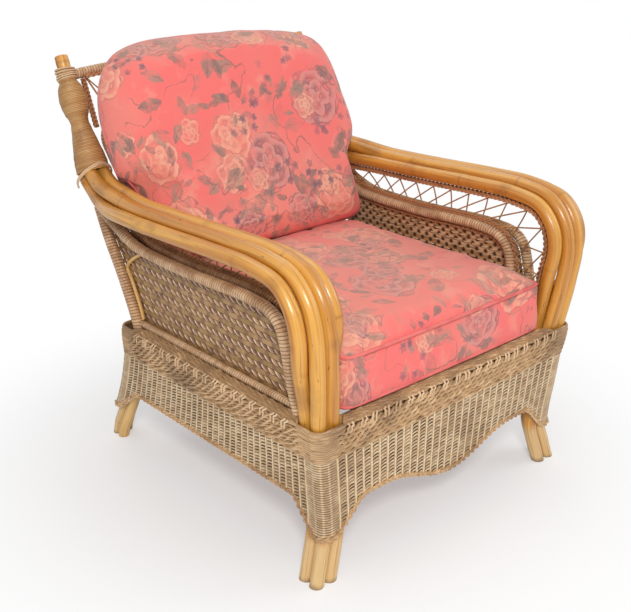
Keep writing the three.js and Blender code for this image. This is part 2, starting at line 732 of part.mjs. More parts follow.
// Thin canes crossed between two lines, with a rim along each
function lattice(lowEdge, highEdge, cells, lowRim, highRim) {
  const low = evenly(lowEdge, cells);
  const high = evenly(highEdge, cells);
  const towards = (line, other, width) =>
    line.map((p, i) => p.clone().lerp(other[i], width / p.distanceTo(other[i])));
  const foot = towards(low, high, lowRim);
  const head = towards(high, low, highRim);
  const crossing = (i) => {
    const [a, b, c, d] = [foot[i], head[i + 1], head[i], foot[i + 1]];
    const rise = b.clone().sub(a);
    const fall = d.clone().sub(c);
    return a.clone().addScaledVector(rise, c.clone().sub(a).cross(fall) / rise.cross(fall));
  };
  const gaps = [];
  for (let i = 0; i < cells; i++) {
    gaps.push([foot[i], foot[i + 1], crossing(i)]);
    gaps.push([head[i], crossing(i), head[i + 1]]);
    if (i > 0) gaps.push([crossing(i - 1), foot[i], crossing(i), head[i]]);
  }
  gaps.push([foot[0], crossing(0), head[0]]);
  gaps.push([foot[cells], head[cells], crossing(cells - 1)]);
  const web = plate([...lowEdge, ...highEdge.slice().reverse()], LATTICE_T);
  return cut(web, ...gaps.map((gap) => plate(shrunk(gap, CANE_W / 2), 2 * LATTICE_T)));
}

// The woven side panel reaches the middle of the outer arch and of the stile
function panelOutline() {
  const top = flat(along(outerArch, ARCH_STATIONS)).filter((p) => p.y > SEAT_Z + ARCH_D);
  const end = top[top.length - 1];
  const back = flat(stileFront(0, 6)).filter((p) => p.y > SEAT_Z && p.y < end.y);
  const foot = [V2(STILE_FOOT_Y, SEAT_Z + GAP), V2(STILE_FOOT_Y - BACK_POLE_D, RAIL_TOP)];
  return [V2(top[0].x, RAIL_TOP), ...top, ...back.reverse(), ...foot];
}

// The thin edging runs inside the arch and the stile, down to the strip at both ends
function edgingLine(foot) {
  const off = EDGING_D / 2 + GAP;
  const underArch = beside(outerArch, -(ARCH_D / 2 + off), ARCH_STATIONS);
  const beforeStile = stileFront(BACK_POLE_D / 2 + off, 8);
  const turn = OUTER_ARCH.z - ARCH_D - EDGING_TURN; // where it leaves the arch for the stile
  const down = beforeStile.filter((p) => p.y > foot + EDGING_D && p.y < turn).reverse();
  const start = V3(underArch[0].x, foot, 0);
  const over = underArch.filter((p) => p.y > foot + EDGING_D && p.x < STILE_FOOT_Y - EDGING_D);
  return [start, ...over, ...down, V3(down[down.length - 1].x - EDGING_D, foot, 0)];
}

function addSides() {
  const outline = panelOutline();
  const trimOffset = -(flatReach(POLE_D) + 2 * GAP + TRIM_H / 2);
  const stripY = [OUTER_ARCH.footY + ARCH_D / 2 + GAP, STILE_FOOT_Y - BACK_POLE_D / 2 - GAP];
  const stripX = PANEL_X + PANEL_T / 2 + GAP + STRIP_D / 2;
  const stripZ = SEAT_Z + GAP + STRIP_D / 2;
  const edgingRun = edgingLine(stripZ + STRIP_D / 2 + 2 * GAP);
  const edgingX = PANEL_X + PANEL_T / 2 + GAP + EDGING_D / 2;
  const lowLine = beside(innerArch, flatReach(ARCH_D) + GAP, ARCH_STATIONS);
  const lowEdge = lowLine.filter((p) => p.y > SEAT_Z && p.x < LATTICE_LOW_END_Y);

  for (const [name, side] of Object.entries(SIDES)) {
    const outer = arch(side, OUTER_ARCH.x, outerArch);
    const inner = arch(side, INNER_ARCH.x, innerArch);
    const slot = stile(side, 2 * GAP);
    piece(`side_arch_outer_${name}`, cut(outer, below(SEAT_Z + GAP), slot), WRAPPED);
    piece(`side_arch_inner_${name}`, cut(inner, below(RAIL_TOP)), WRAPPED);
    const panel = weave(outline, PANEL_T, PANEL_ROW, PANEL_RIDGE).applyMatrix4(upright);
    piece(`side_panel_${name}`, panel, WICKER).position.x = side * PANEL_X;

    const [stripFront, stripBack] = stripY.map((y) => V3(side * stripX, y, stripZ));
    const ends = [slot, arch(side, OUTER_ARCH.x, outerArch, 2 * GAP)];
    piece(`panel_strip_${name}`, cut(straight(stripFront, stripBack, STRIP_D), ...ends), WRAPPED);
    const edging = rod(edgingRun.map((p) => V3(side * edgingX, p.x, p.y)), EDGING_D, THIN_SIDES);
    piece(`panel_edging_${name}`, edging, BARE);

    const overSeat = bundles[name].filter((s) => s.centre.z > SEAT_Z - POLE_D);
    const trim = rod(overSeat.map((s) => s.at(INNER, trimOffset)), TRIM_W, THIN_SIDES, TRIM_H);
    piece(`arm_braid_${name}`, cut(trim, below(SEAT_Z + GAP), beyondPost(POST_WRAP_Z - 2 * TRIM_H)), WICKER);

    const highEdge = bundles[name]
      .map((s) => s.at(INNER, trimOffset - TRIM_H / 2 - GAP))
      .map((p) => V3(p.y, p.z, 0))
      .filter((p) => p.y > SEAT_Z && p.x < LATTICE_HIGH_END_Y);
    const web = lattice(flat(lowEdge), flat(highEdge), LATTICE_CELLS, ARCH_BRAID, LATTICE_RIM);
    piece(`side_lattice_${name}`, web.applyMatrix4(upright), CANE).position.x = side * LATTICE_X;
  }
}

// The back, in the leaning plane
function addBack() {
  const railEnd = POST_X - BINDING_COLLAR_R - GAP;
  const railLow = upBack(TOP_RAIL_Z);
  const rail = new THREE.QuadraticBezierCurve3(
    V3(-railEnd, railLow, 0),
    V3(0, railLow + 2 * TOP_RAIL_RISE, 0),
    V3(railEnd, railLow, 0),
  );
  const collars = [-1, 1].map((side) => {
    const reach = BINDING_COLLAR_R + GAP;
    return new THREE.CylinderGeometry(reach, reach, FAR, BINDING_SIDES).translate(side * POST_X, 0, 0);
  });
  piece("back_top_rail", cut(rod(along(rail, TOP_RAIL_STATIONS), TOP_RAIL_D), ...collars), WRAPPED, leaning);

  const foot = GAP / Math.cos(LEAN) + (FRAME_D / 2) * Math.tan(LEAN);
  const shoulder = upBack(FRAME_SHOULDER_Z);
  const top = upBack(FRAME_TOP_Z);
  const half = [
    V3(FRAME_LOW_X, foot, 0),
    V3(FRAME_LOW_X, shoulder * 0.55, 0),
    V3(FRAME_LOW_X + 2, shoulder, 0),
    V3(lerp(FRAME_LOW_X, FRAME_X, 0.72), lerp(shoulder, top, 0.45), 0),
    V3(FRAME_X, top - FRAME_CORNER, 0),
    V3(FRAME_X - FRAME_CORNER * 0.3, top - FRAME_CORNER * 0.3, 0),
    V3(FRAME_X - FRAME_CORNER, top, 0),
    V3(FRAME_X - 2 * FRAME_CORNER, top, 0),
  ];
  const mirrored = half.map((p) => V3(-p.x, p.y, 0)).reverse();
  const frameLine = smooth([...half, V3(0, top, 0), ...mirrored]);
  piece("back_frame", rod(along(frameLine, FRAME_STATIONS), FRAME_D), WRAPPED, leaning);
  const inside = flat(beside(frameLine, FRAME_D / 2 + GAP, FRAME_STATIONS));
  const panel = weave(inside, BACK_PANEL_T, PANEL_ROW, PANEL_RIDGE);
  piece("back_panel", panel, WICKER, leaning);

  const braidX = POST_X - BINDING_HIGH_R - GAP - POST_BRAID_D / 2;
  const braidEnds = [top - FRAME_CORNER / 6, railLow - flatReach(TOP_RAIL_D) - GAP];
  for (const [name, side] of Object.entries(SIDES)) {
    const braid = rod(braidEnds.map((v) => V3(side * braidX, v, 0)), POST_BRAID_D, THIN_SIDES);
    const corner = rod(along(frameLine, FRAME_STATIONS), FRAME_D + 2 * GAP);
    piece(`post_braid_${name}`, cut(braid, corner), WICKER, leaning);
  }

  const bandX = braidX - POST_BRAID_D / 2 - GAP;
  const low = [-1, 1].map((side) => V2(side * (FRAME_X - FRAME_CORNER), top + flatReach(FRAME_D) + GAP));
  const underRail = flat(beside(rail, -(flatReach(TOP_RAIL_D) + GAP), TOP_RAIL_STATIONS));
  const bandEnd = (side) => {
    const i = underRail.findIndex((p) => p.x > side * bandX);
    const [a, b] = [underRail[i - 1], underRail[i]];
    return a.clone().lerp(b, (side * bandX - a.x) / (b.x - a.x));
  };
  const high = [bandEnd(-1), ...underRail.filter((p) => Math.abs(p.x) < bandX), bandEnd(1)];
  const band = lattice(low, high, BACK_CELLS, BACK_RIM, BACK_RIM);
  piece("back_lattice", band, CANE, leaning);
}

// Cushions: layers of one outline, drawn in towards the faces
function roundedOutline(corners, segments) {
  // corners: [x, y, radius], counter-clockwise
  const points = [];
  corners.forEach(([x, y, radius], i) => {
    const before = corners[(i + corners.length - 1) % corners.length];
    const after = corners[(i + 1) % corners.length];
    const into = V2(before[0] - x, before[1] - y).normalize().multiplyScalar(radius);
    const out = V2(after[0] - x, after[1] - y).normalize().multiplyScalar(radius);
    const curve = new THREE.QuadraticBezierCurve(V2(x, y).add(into), V2(x, y), V2(x, y).add(out));
    points.push(...curve.getPoints(segments));
  });
  return points;
}

// lower is the share of the inset that the lower edge takes
const drawnIn = (outline, centre, inset, lower = 1) => {
  const half = new THREE.Box2().setFromPoints(outline).getSize(V2(0, 0)).multiplyScalar(0.5);
  return outline.map((p) => {
    const away = p.clone().sub(centre);
    const share = away.y < 0 ? lower : 1;
    return V2(centre.x + away.x * (1 - inset / half.x), centre.y + away.y * (1 - (inset * share) / half.y));
  });
};

function addCushions() {
  const middleY = (SEAT_CUSHION_FRONT_Y + SEAT_CUSHION_BACK_Y) / 2;
  const outline = roundedOutline(
    [
      [-SEAT_CUSHION_X, SEAT_CUSHION_FRONT_Y, SEAT_CUSHION_CORNER],
      [SEAT_CUSHION_X, SEAT_CUSHION_FRONT_Y, SEAT_CUSHION_CORNER],
      [SEAT_CUSHION_X, SEAT_CUSHION_BACK_Y, SEAT_CUSHION_CORNER],
      [-SEAT_CUSHION_X, SEAT_CUSHION_BACK_Y, SEAT_CUSHION_CORNER],
    ],
    4,
  );
  const foot = SEAT_Z + SEAT_CUSHION_GAP;
  const layers = [
    [0, 14],
    [8, 2],
    [SEAT_CUSHION_T / 2, 0],
    [SEAT_CUSHION_T - 6, 2],
    [SEAT_CUSHION_T, 10],
    [SEAT_CUSHION_T + SEAT_CUSHION_CROWN * 0.7, 90],
    [SEAT_CUSHION_T + SEAT_CUSHION_CROWN, 200],
  ];
  const rings = layers.map(([rise, inset]) =>
    drawnIn(outline, V2(0, middleY), inset).map((p) => V3(p.x, p.y, foot + rise)),
  );
  piece("seat_cushion", ringBody(rings, false), FABRIC);

  // The back cushion leans on the panel and stands on the seat cushion
  const back = FRAME_D / 2 + CUSHION_CLEAR;
  const depthAt = (turn) => back + (BACK_CUSHION_T * (1 + Math.sin(turn))) / 2;
  const seatTop = foot + SEAT_CUSHION_T + SEAT_CUSHION_CROWN - BACK_CUSHION_SINK;
  const low = (seatTop - SEAT_Z - depthAt(0) * Math.sin(LEAN)) / Math.cos(LEAN);
  const armTop = upBack(ARM_Z) - depthAt(0) * Math.tan(LEAN);
  const backOutline = roundedOutline(
    [
      [-BACK_CUSHION_LOW_X, low, 30],
      [BACK_CUSHION_LOW_X, low, 30],
      [BACK_CUSHION_LOW_X, armTop, 30],
      [BACK_CUSHION_X, armTop + 70, 40],
      [BACK_CUSHION_TOP_X, BACK_CUSHION_RISE, BACK_CUSHION_CORNER],
      [-BACK_CUSHION_TOP_X, BACK_CUSHION_RISE, BACK_CUSHION_CORNER],
      [-BACK_CUSHION_X, armTop + 70, 40],
      [-BACK_CUSHION_LOW_X, armTop, 30],
    ],
    3,
  );
  const centre = V2(0, (low + BACK_CUSHION_RISE) / 2);
  const backRings = [-90, -60, -35, 0, 35, 60, 90].map((degrees) => {
    const turn = degToRad(degrees);
    const inset = BACK_CUSHION_PUFF * (1 - Math.cos(turn));
    return drawnIn(backOutline, centre, inset, BACK_CUSHION_SQUARE).map((p) => V3(p.x, p.y, depthAt(turn)));
  });
  piece("back_cushion", ringBody(backRings, false), FABRIC, leaning);
}

addArms();
addBackLegs();
addPosts();
addSeatFrame();
addWicker();
addSides();
addBack();
addCushions();

// The origin is on the floor, under the middle of the whole chair
chair.updateMatrixWorld(true);
const box = new THREE.Box3().setFromObject(chair, true);
chair.position.y = -(box.min.y + box.max.y) / 2;

export default chair;
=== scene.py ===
import bpy
import math
import numpy as np
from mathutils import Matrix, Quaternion, Vector
from mathutils.bvhtree import BVHTree


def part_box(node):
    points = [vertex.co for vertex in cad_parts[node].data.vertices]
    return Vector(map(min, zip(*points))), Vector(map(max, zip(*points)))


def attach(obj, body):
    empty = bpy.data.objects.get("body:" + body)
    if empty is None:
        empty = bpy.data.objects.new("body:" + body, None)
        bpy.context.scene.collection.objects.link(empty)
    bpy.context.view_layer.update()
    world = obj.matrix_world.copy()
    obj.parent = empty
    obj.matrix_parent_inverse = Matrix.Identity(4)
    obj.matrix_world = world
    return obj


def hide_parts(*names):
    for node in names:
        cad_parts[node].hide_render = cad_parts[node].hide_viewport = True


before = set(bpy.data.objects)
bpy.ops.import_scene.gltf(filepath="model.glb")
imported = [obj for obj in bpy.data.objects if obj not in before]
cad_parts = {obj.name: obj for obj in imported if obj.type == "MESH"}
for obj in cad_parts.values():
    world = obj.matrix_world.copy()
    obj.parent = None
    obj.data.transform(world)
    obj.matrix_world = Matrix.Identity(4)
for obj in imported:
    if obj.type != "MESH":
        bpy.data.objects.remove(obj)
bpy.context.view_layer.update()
rng = np.random.default_rng(11)

# Sizes, in millimetres
GAP = 0.4
POLE_GAP = 1.2
BACK_POLE_GAP = 0.5
WICKER_CLEAR = 2
POLE_D = 28
BACK_POLE_D = 24
ARCH_D = 22
RAIL_D = 26
SLAT_D = 16
FOOT_X, FOOT_Y = 330, -356
WAIST_X, WAIST_Y, WAIST_Z = 303, -346, 95
SEAT_X, SEAT_Y, SEAT_Z = 326, -358, 326
ARM_X, ARM_Z, ARM_NOSE_Y, ARM_BEND_R = 345, 599, -382, 110
ARM_ROW = 24
ARM_RUN = [(0.16, 3, 0), (0.295, 4, 0), (0.51, -1, 0), (0.67, -3, 0), (0.82, -2, 0.25), (0.912, 2, 0.6)]
INNER_POLE_DEPTH = 92
BACK_SEAT_Y = 238
LEAN = math.radians(22.4)
POST_X = 325
POST_WRAP_Z, POST_COLLAR_Z, POST_TOP_Z = 634, 838, 866
BACK_FOOT_X, BACK_FOOT_Y = 308, 358
BACK_WAIST_X, BACK_WAIST_Y = 304, 316
BACK_LEG_X, BACK_LEG_Y, BACK_LEG_TOP = 322, 222, 20
SKIRT_FOOT = dict(leg=98, middle=116, peak=162, peak_x=185, side=168, front_run=92, side_run=66)
BORDER_H = 64
OUTER_ARCH_X, INNER_ARCH_X = 337, 303
PANEL_X = 318
PANEL_ROW = 10.75
ROW = 7.3
TOP_RAIL_D, TOP_RAIL_Z, TOP_RAIL_RISE = 22, 826, 16
FRAME_D, FRAME_TOP_Z, FRAME_SHOULDER_Z = 18, 722, 606
FRAME_X, FRAME_LOW_X, FRAME_CORNER = 277, 262, 34
ARCH_Z, ARCH_FOOT_Y = 503, -316
PANEL_HALF_T = 3.2
STRIP_R, EDGING_R = 7.5, 4
PAD_HALF_X, PAD_FRONT_Y, PAD_BACK_Y, PAD_CORNER = 287, -380, 218, 34
PAD_Z, PAD_H = SEAT_Z + 4, 116
BACK_PAD_T = 160

# The solids are centred on the floor, so depths are counted from the seat cushion's front
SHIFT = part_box("seat_cushion")[0][1] * 1000 - PAD_FRONT_Y

SIDES = {"left": -1, "right": 1}
ACROSS, UP, TILTED = np.array([1.0, 0, 0]), np.array([0, 0, 1.0]), np.array([0, 0.3, 1.0])
TURN = 6.2832


def place(points):
    """Millimetres of the drawing to metres of the frame."""
    p = np.array(points, float).reshape(-1, 3)
    p[:, 1] += SHIFT
    return p / 1000


def lerp(a, b, t):
    return a + (b - a) * t


def smoothstep(x, a, b):
    t = np.clip((x - a) / (b - a), 0, 1)
    return t * t * (3 - 2 * t)


def unit(v):
    v = np.asarray(v, float)
    return v / np.maximum(np.linalg.norm(v, axis=-1, keepdims=True), 1e-12)


def smooth(points, per=24):
    """A centripetal curve through the points, finely sampled."""
    p = [np.array(q, float) for q in points]
    p = [2 * p[0] - p[1], *p, 2 * p[-1] - p[-2]]
    out = []
    for a, b, c, d in zip(p, p[1:], p[2:], p[3:]):
        t0 = max(np.linalg.norm(b - a) ** 0.5, 1e-4)
        t1 = max(np.linalg.norm(c - b) ** 0.5, 1e-4)
        t2 = max(np.linalg.norm(d - c) ** 0.5, 1e-4)
        m1 = ((b - a) / t0 - (c - a) / (t0 + t1) + (c - b) / t1) * t1
        m2 = ((c - b) / t1 - (d - b) / (t1 + t2) + (d - c) / t2) * t1
        for s in np.arange(per) / per:
            h = (2 * s**3 - 3 * s**2 + 1, s**3 - 2 * s**2 + s, -2 * s**3 + 3 * s**2, s**3 - s**2)
            out.append(h[0] * b + h[1] * m1 + h[2] * c + h[3] * m2)
    out.append(p[-2])
    return np.array(out)


def lengths(points):
    return np.concatenate([[0], np.cumsum(np.linalg.norm(np.diff(points, axis=0), axis=1))])


def even(points, step=None, count=None):
    """The same line with even spacing."""
    run = lengths(points)
    count = count or max(2, int(round(run[-1] / step)))
    at = np.linspace(0, run[-1], count + 1)
    return np.stack([np.interp(at, run, points[:, k]) for k in range(points.shape[1])], axis=1)


def tangents(points):
    return unit(np.gradient(points, axis=0))


def frames(points, ref=None):
    """Tangent, side and up at each point of a line. ref is a steady sideways direction."""
    t = tangents(points)
    if ref is not None:
        ref = np.broadcast_to(ref, t.shape)
        side = unit(ref - (t * ref).sum(1)[:, None] * t)
    else:
        side = np.zeros_like(t)
        start = ACROSS if abs(t[0][0]) < 0.9 else np.array([0, 1.0, 0])
        side[0] = unit(start - t[0] * (start @ t[0]))
        for i in range(1, len(t)):
            side[i] = unit(side[i - 1] - t[i] * (side[i - 1] @ t[i]))
    return t, side, np.cross(t, side)


# Meshes
def linked(name, data):
    """An object of this data, in the scene."""
    obj = bpy.data.objects.new(name, data)
    bpy.context.scene.collection.objects.link(obj)
    return obj


class Body:
    """Gathers vertices, quads and a uv for each corner."""

    def __init__(self):
        self.v, self.f, self.uv, self.n = [], [], [], 0
        self.tone = []

    def grid(self, points, u, v, loop=False, flip=False, tone=None):
        """points[i][j]: i runs along, j across. u and v are the values along each."""
        points = np.asarray(points, float)
        rows, cols = points.shape[:2]
        base = self.n
        self.v.append(points.reshape(-1, 3))
        self.n += rows * cols
        tone = np.ones((rows, cols)) if tone is None else np.asarray(tone, float)
        self.tone.append(tone.reshape(-1))
        i, j = np.meshgrid(np.arange(rows - 1), np.arange(cols if loop else cols - 1), indexing="ij")
        k = (j + 1) % cols
        quad = np.stack([i * cols + j, i * cols + k, (i + 1) * cols + k, (i + 1) * cols + j], -1)
        quad = quad.reshape(-1, 4)
        u = np.asarray(u, float)
        v = np.asarray(v, float)
        jj = j + 1
        vv = np.append(v, 1.0) if loop and len(v) == cols else v
        corner = np.stack([
            np.stack([u[i], vv[j]], -1),
            np.stack([u[i], vv[jj]], -1),
            np.stack([u[i + 1], vv[jj]], -1),
            np.stack([u[i + 1], vv[j]], -1),
        ], -2).reshape(-1, 4, 2)
        if flip:
            quad, corner = quad[:, ::-1], corner[:, ::-1]
        self.f.append(quad + base)
        self.uv.append(corner)

    def fan(self, ring, uv, flip=False):
        """Closes a ring with quads round its middle."""
        ring = np.asarray(ring, float)
        count = len(ring)
        middle = ring.mean(0)
        inner = lerp(ring, middle, 0.999)
        points = np.stack([ring, inner])
        self.grid(points, [uv, uv], np.arange(count) / count, loop=True, flip=flip)

    def tube(self, points, radius, sides=12, ref=None, caps=True, start=0.0, tone=None, squash=1.0,
             round_ends=0.0):
        t, side, up = frames(points, ref)
        run = lengths(points) + start
        a = np.arange(sides) / sides * 2 * np.pi
        radius = np.broadcast_to(np.asarray(radius, float), (len(points),))
        ring = points[:, None] + radius[:, None, None] * (
            np.cos(a)[None, :, None] * side[:, None] + squash * np.sin(a)[None, :, None] * up[:, None])
        if tone is not None:
            tone = np.broadcast_to(np.asarray(tone, float).reshape(-1, 1), (len(points), sides))
        self.grid(ring, run, np.arange(sides) / sides, loop=True, tone=tone)
        if caps:
            for k, flip, sign in ((0, True, -1), (-1, False, 1)):
                if round_ends:
                    dome = []
                    for part in (0.0, 0.35, 0.65, 0.87, 0.97):
                        shrink = math.sqrt(1 - part * part)
                        centre = points[k] + sign * t[k] * radius[k] * round_ends * part
                        dome.append(centre + (ring[k] - points[k]) * shrink)
                    self.grid(dome, [run[k]] * 5, np.arange(sides) / sides, loop=True, flip=flip)
                    self.fan(dome[-1], run[k], flip=flip)
                else:
                    self.fan(ring[k], run[k], flip=flip)

    def make(self, name, material):
        v = np.concatenate(self.v)
        f = np.concatenate(self.f)
        uv = np.concatenate(self.uv)
        mesh = bpy.data.meshes.new(name)
        mesh.vertices.add(len(v))
        mesh.vertices.foreach_set("co", v.reshape(-1))
        mesh.loops.add(len(f) * 4)
        mesh.polygons.add(len(f))
        mesh.loops.foreach_set("vertex_index", f.reshape(-1).astype(np.int32))
        mesh.polygons.foreach_set("loop_start", np.arange(len(f), dtype=np.int32) * 4)
        layer = mesh.uv_layers.new(name="along")
        layer.uv.foreach_set("vector", uv.reshape(-1))
        shade = mesh.attributes.new("tone", "FLOAT", "POINT")
        shade.data.foreach_set("value", np.concatenate(self.tone))
        mesh.polygons.foreach_set("use_smooth", np.ones(len(f), bool))
        mesh.update()
        mesh.validate()
        mesh.materials.append(material)
        return linked(name, mesh)


def finished(body, name, material, slot, *nodes):
    obj = body.make(name, material) if isinstance(body, Body) else body
    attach(obj, "root")
    if nodes:
        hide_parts(*nodes)
    return obj


# Materials
class Value:
    """One output of a material's node. Plain arithmetic on it makes Math nodes."""

    def __init__(self, nodes, socket):
        self.nodes, self.socket = nodes, socket

    def __add__(self, other):
        return self.nodes.math("ADD", self, other)

    def __sub__(self, other):
        return self.nodes.math("SUBTRACT", self, other)

    def __rsub__(self, other):
        return self.nodes.math("SUBTRACT", other, self)

    def __mul__(self, other):
        return self.nodes.math("MULTIPLY", self, other)

    def __truediv__(self, other):
        return self.nodes.math("DIVIDE", self, other)

    def __mod__(self, other):
        return self.nodes.math("MODULO", self, other)

    def __pow__(self, other):
        return self.nodes.math("POWER", self, other)

    def __abs__(self):
        return self.nodes.math("ABSOLUTE", self)


def scaled(color, red, green, blue):
    return color[0] * red, color[1] * green, color[2] * blue


class Nodes:
    """Shorthand for a material's nodes."""

    def __init__(self, name, **values):
        self.material = bpy.data.materials.new(name)
        self.material.use_nodes = True
        self.tree = self.material.node_tree
        self.shader = self.tree.nodes["Principled BSDF"]
        for key, value in values.items():
            self.shader.inputs[key.replace("_", " ")].default_value = value

    def put(self, socket, value):
        if isinstance(value, Value):
            self.tree.links.new(value.socket, socket)
        elif isinstance(value, tuple) and len(value) == 3 and socket.type == "RGBA":
            socket.default_value = (*value, 1)
        else:
            socket.default_value = value

    def node(self, kind, out=0, settings=None, **inputs):
        n = self.tree.nodes.new("ShaderNode" + kind)
        for key, value in (settings or {}).items():
            setattr(n, key, value)
        for key, value in inputs.items():
            key = key[1:] if key[0] == "i" and key[1:].isdigit() else key.replace("_", " ")
            self.put(n.inputs[int(key)] if key.isdigit() else n.inputs[key], value)
        return Value(self, n.outputs[out])

    def math(self, operation, a, b=0.0):
        return self.node("Math", settings={"operation": operation}, i0=a, i1=b)

    def fract(self, value):
        return self.math("FRACT", value)

    def floor(self, value):
        return self.math("FLOOR", value)

    def most(self, a, b):
        return self.math("MAXIMUM", a, b)

    def mix(self, a, b, factor):
        n = self.tree.nodes.new("ShaderNodeMix")
        n.data_type = "RGBA"
        self.put(n.inputs["Factor"], factor)
        self.put(n.inputs["A"], a)
        self.put(n.inputs["B"], b)
        return Value(self, n.outputs["Result"])

    def ramp(self, value, low, high, a=0.0, b=1.0):
        return self.node("MapRange", settings={"interpolation_type": "SMOOTHSTEP"}, Value=value,
                         From_Min=low, From_Max=high, To_Min=a, To_Max=b)

    def length(self, vector):
        return self.node("VectorMath", out=1, settings={"operation": "LENGTH"}, i0=vector)

    def vector(self, operation, a, b):
        return self.node("VectorMath", settings={"operation": operation}, i0=a, i1=b)

    def chance(self, index):
        """A random value for each whole number."""
        return self.node("TexWhiteNoise", settings={"noise_dimensions": "1D"}, W=index)

    def split(self, value, kind="SeparateXYZ"):
        n = self.tree.nodes.new("ShaderNode" + kind)
        self.put(n.inputs[0], value)
        return [Value(self, socket) for socket in n.outputs[:3]]

    def along(self):
        """Metres along a strand and the way round or across it."""
        return self.split(self.node("UVMap", settings={"uv_map": "along"}))[:2]

    def vec(self, x=0.0, y=0.0, z=0.0):
        return self.node("CombineXYZ", X=x, Y=y, Z=z)

    def where(self):
        return self.node("TexCoord", out=3)

    def noise(self, vector, scale, detail=2.0, rough=0.5):
        return self.node("TexNoise", Vector=vector, Scale=scale, Detail=detail, Roughness=rough)

    def tone(self):
        return self.node("Attribute", out=2, settings={"attribute_name": "tone"})

    def finish(self, color, rough=None, height=None, strength=0.3, distance=0.001):
        self.put(self.shader.inputs["Base Color"], color)
        if rough is not None:
            self.put(self.shader.inputs["Roughness"], rough)
        if height is not None:
            self.put(self.shader.inputs["Normal"],
                     self.node("Bump", Height=height, Strength=strength, Distance=distance))
        return self.material


def polished(name, pale, mid, dark, roughness, coat):
    """Varnished pole: fibres along its length, faint joints, scuffs, and feet paled by wear."""
    m = Nodes(name, Roughness=roughness, Coat_Weight=coat, Coat_Roughness=0.2)
    u, v = m.along()
    p = m.where()
    fibre = m.noise(m.vec(u * 6.0, v * 26.0), 1.0, 3.0, 0.6)
    streak = m.noise(m.vec(u * 2.0, v * 5.0), 1.0, 2.0, 0.5)
    patch = m.noise(p, 12.0, 3.0)
    speck = m.noise(m.vec(u * 50.0, v * 13.0), 1.0, 2.0)
    color = m.mix(mid, pale, m.ramp(streak, 0.36, 0.62))
    color = m.mix(color, dark, m.ramp(fibre, 0.5, 0.74, 0.0, 0.6))
    color = m.mix(color, dark, m.ramp(patch, 0.54, 0.72, 0.0, 0.42))
    color = m.mix(color, scaled(dark, 0.5, 0.45, 0.4), m.ramp(speck, 0.68, 0.74, 0.0, 0.65))
    low = patch * 0.06 + m.split(p)[2]
    wear_and_groove_shade = m.mix((0.74, 0.53, 0.26), (0.55, 0.32, 0.12), m.ramp(fibre, 0.45, 0.65))
    color = m.mix(color, wear_and_groove_shade, m.ramp(low, 0.105, 0.13, 0.8, 0.0))
    color = m.mix(color, (0.2, 0.12, 0.06), m.ramp(low, 0.028, 0.042, 0.7, 0.0))
    color = m.mix(dark, color, m.ramp(m.tone(), 0.0, 1.0, 0.4, 1.0))
    rough = m.ramp(patch, 0.3, 0.7, roughness - 0.06, roughness + 0.16)
    return m.finish(color, rough, fibre, 0.3, 0.0006)


def wound(name, pale, mid, dark, pitch, slant=1.0, bare_below=0.0):
    """Cane wound round a pole, each turn its own shade. The pole is bare below a height."""
    m = Nodes(name, Roughness=0.5)
    u, v = m.along()
    p = m.where()
    turn = v * slant + u / pitch
    index = m.floor(turn)
    part = m.fract(turn)
    shade = m.chance(index)
    zone = m.noise(m.vec(u * 14.0, v * 2.0), 1.0, 2.0)
    fibre = m.noise(m.vec(u * 900.0, v * 9.0), 1.0, 2.0)
    edge = abs(part - 0.5)
    color = m.mix(pale, mid, shade)
    color = m.mix(color, dark, m.ramp(zone, 0.44, 0.66, 0.0, 0.7))
    color = m.mix(color, scaled(pale, 1.15, 1.2, 1.3), m.ramp(fibre, 0.54, 0.7, 0.0, 0.6))
    # Painted shade: each turn goes nearly black towards its edges, in the groove between turns
    color = m.mix(color, scaled(dark, 0.3, 0.26, 0.22), m.ramp(edge, 0.3, 0.5, 0.0, 0.85))
    # Tone darkens towards the dark colour: on the post bindings it is painted shade in the grooves
    # between turns
    color = m.mix(dark, color, m.tone())
    height = 1.0 - ((edge * 2.0) ** 3.0)
    if bare_below:
        grain = m.noise(m.vec(u * 6.0, v * 26.0), 1.0, 3.0)
        pole = m.mix((0.8, 0.52, 0.2), (0.5, 0.27, 0.08), m.ramp(grain, 0.4, 0.65))
        low = m.ramp(m.split(p)[2], bare_below, bare_below + 0.004, 1.0, 0.0)
        color = m.mix(color, pole, low)
        height = m.most(height, low)
    return m.finish(color, m.ramp(shade, 0.0, 1.0, 0.38, 0.58), height, 0.7, 0.0012)


def woven(name, pale, mid, dark, row):
    """Strands of a woven face: tone is 1 on top of a strand and 0 in the gaps between, where the colour
    goes dark as painted shade.
    """
    m = Nodes(name, Roughness=0.58)
    u, v = m.along()
    p = m.where()
    index = m.floor(v / row)
    shade = m.chance(index)
    strand = m.noise(m.vec(u * 26.0, index * 3.7), 1.0, 2.0)
    fibre = m.noise(m.vec(u * 60.0, v * 1500.0), 1.0, 2.0)
    patch = m.noise(p, 9.0, 2.0)
    mixed = shade * 0.4 + strand * 0.8
    color = m.mix(pale, mid, m.ramp(mixed, 0.46, 0.66))
    color = m.mix(color, dark, m.ramp(strand, 0.55, 0.66, 0.0, 0.6))
    color = m.mix(color, dark, m.ramp(patch, 0.48, 0.66, 0.0, 0.55))
    color = m.mix(color, scaled(pale, 1.35, 1.4, 1.5), m.ramp(fibre, 0.6, 0.72, 0.0, 0.55))
    # Painted shade: where tone is low, in the gaps between strands, the colour goes to a near black
    deep = scaled(dark, 0.16, 0.14, 0.12)
    color = m.mix(deep, color, m.ramp(m.tone(), 0.08, 0.62))
    return m.finish(color, m.ramp(fibre, 0.3, 0.7, 0.45, 0.65), fibre, 0.35, 0.0006)


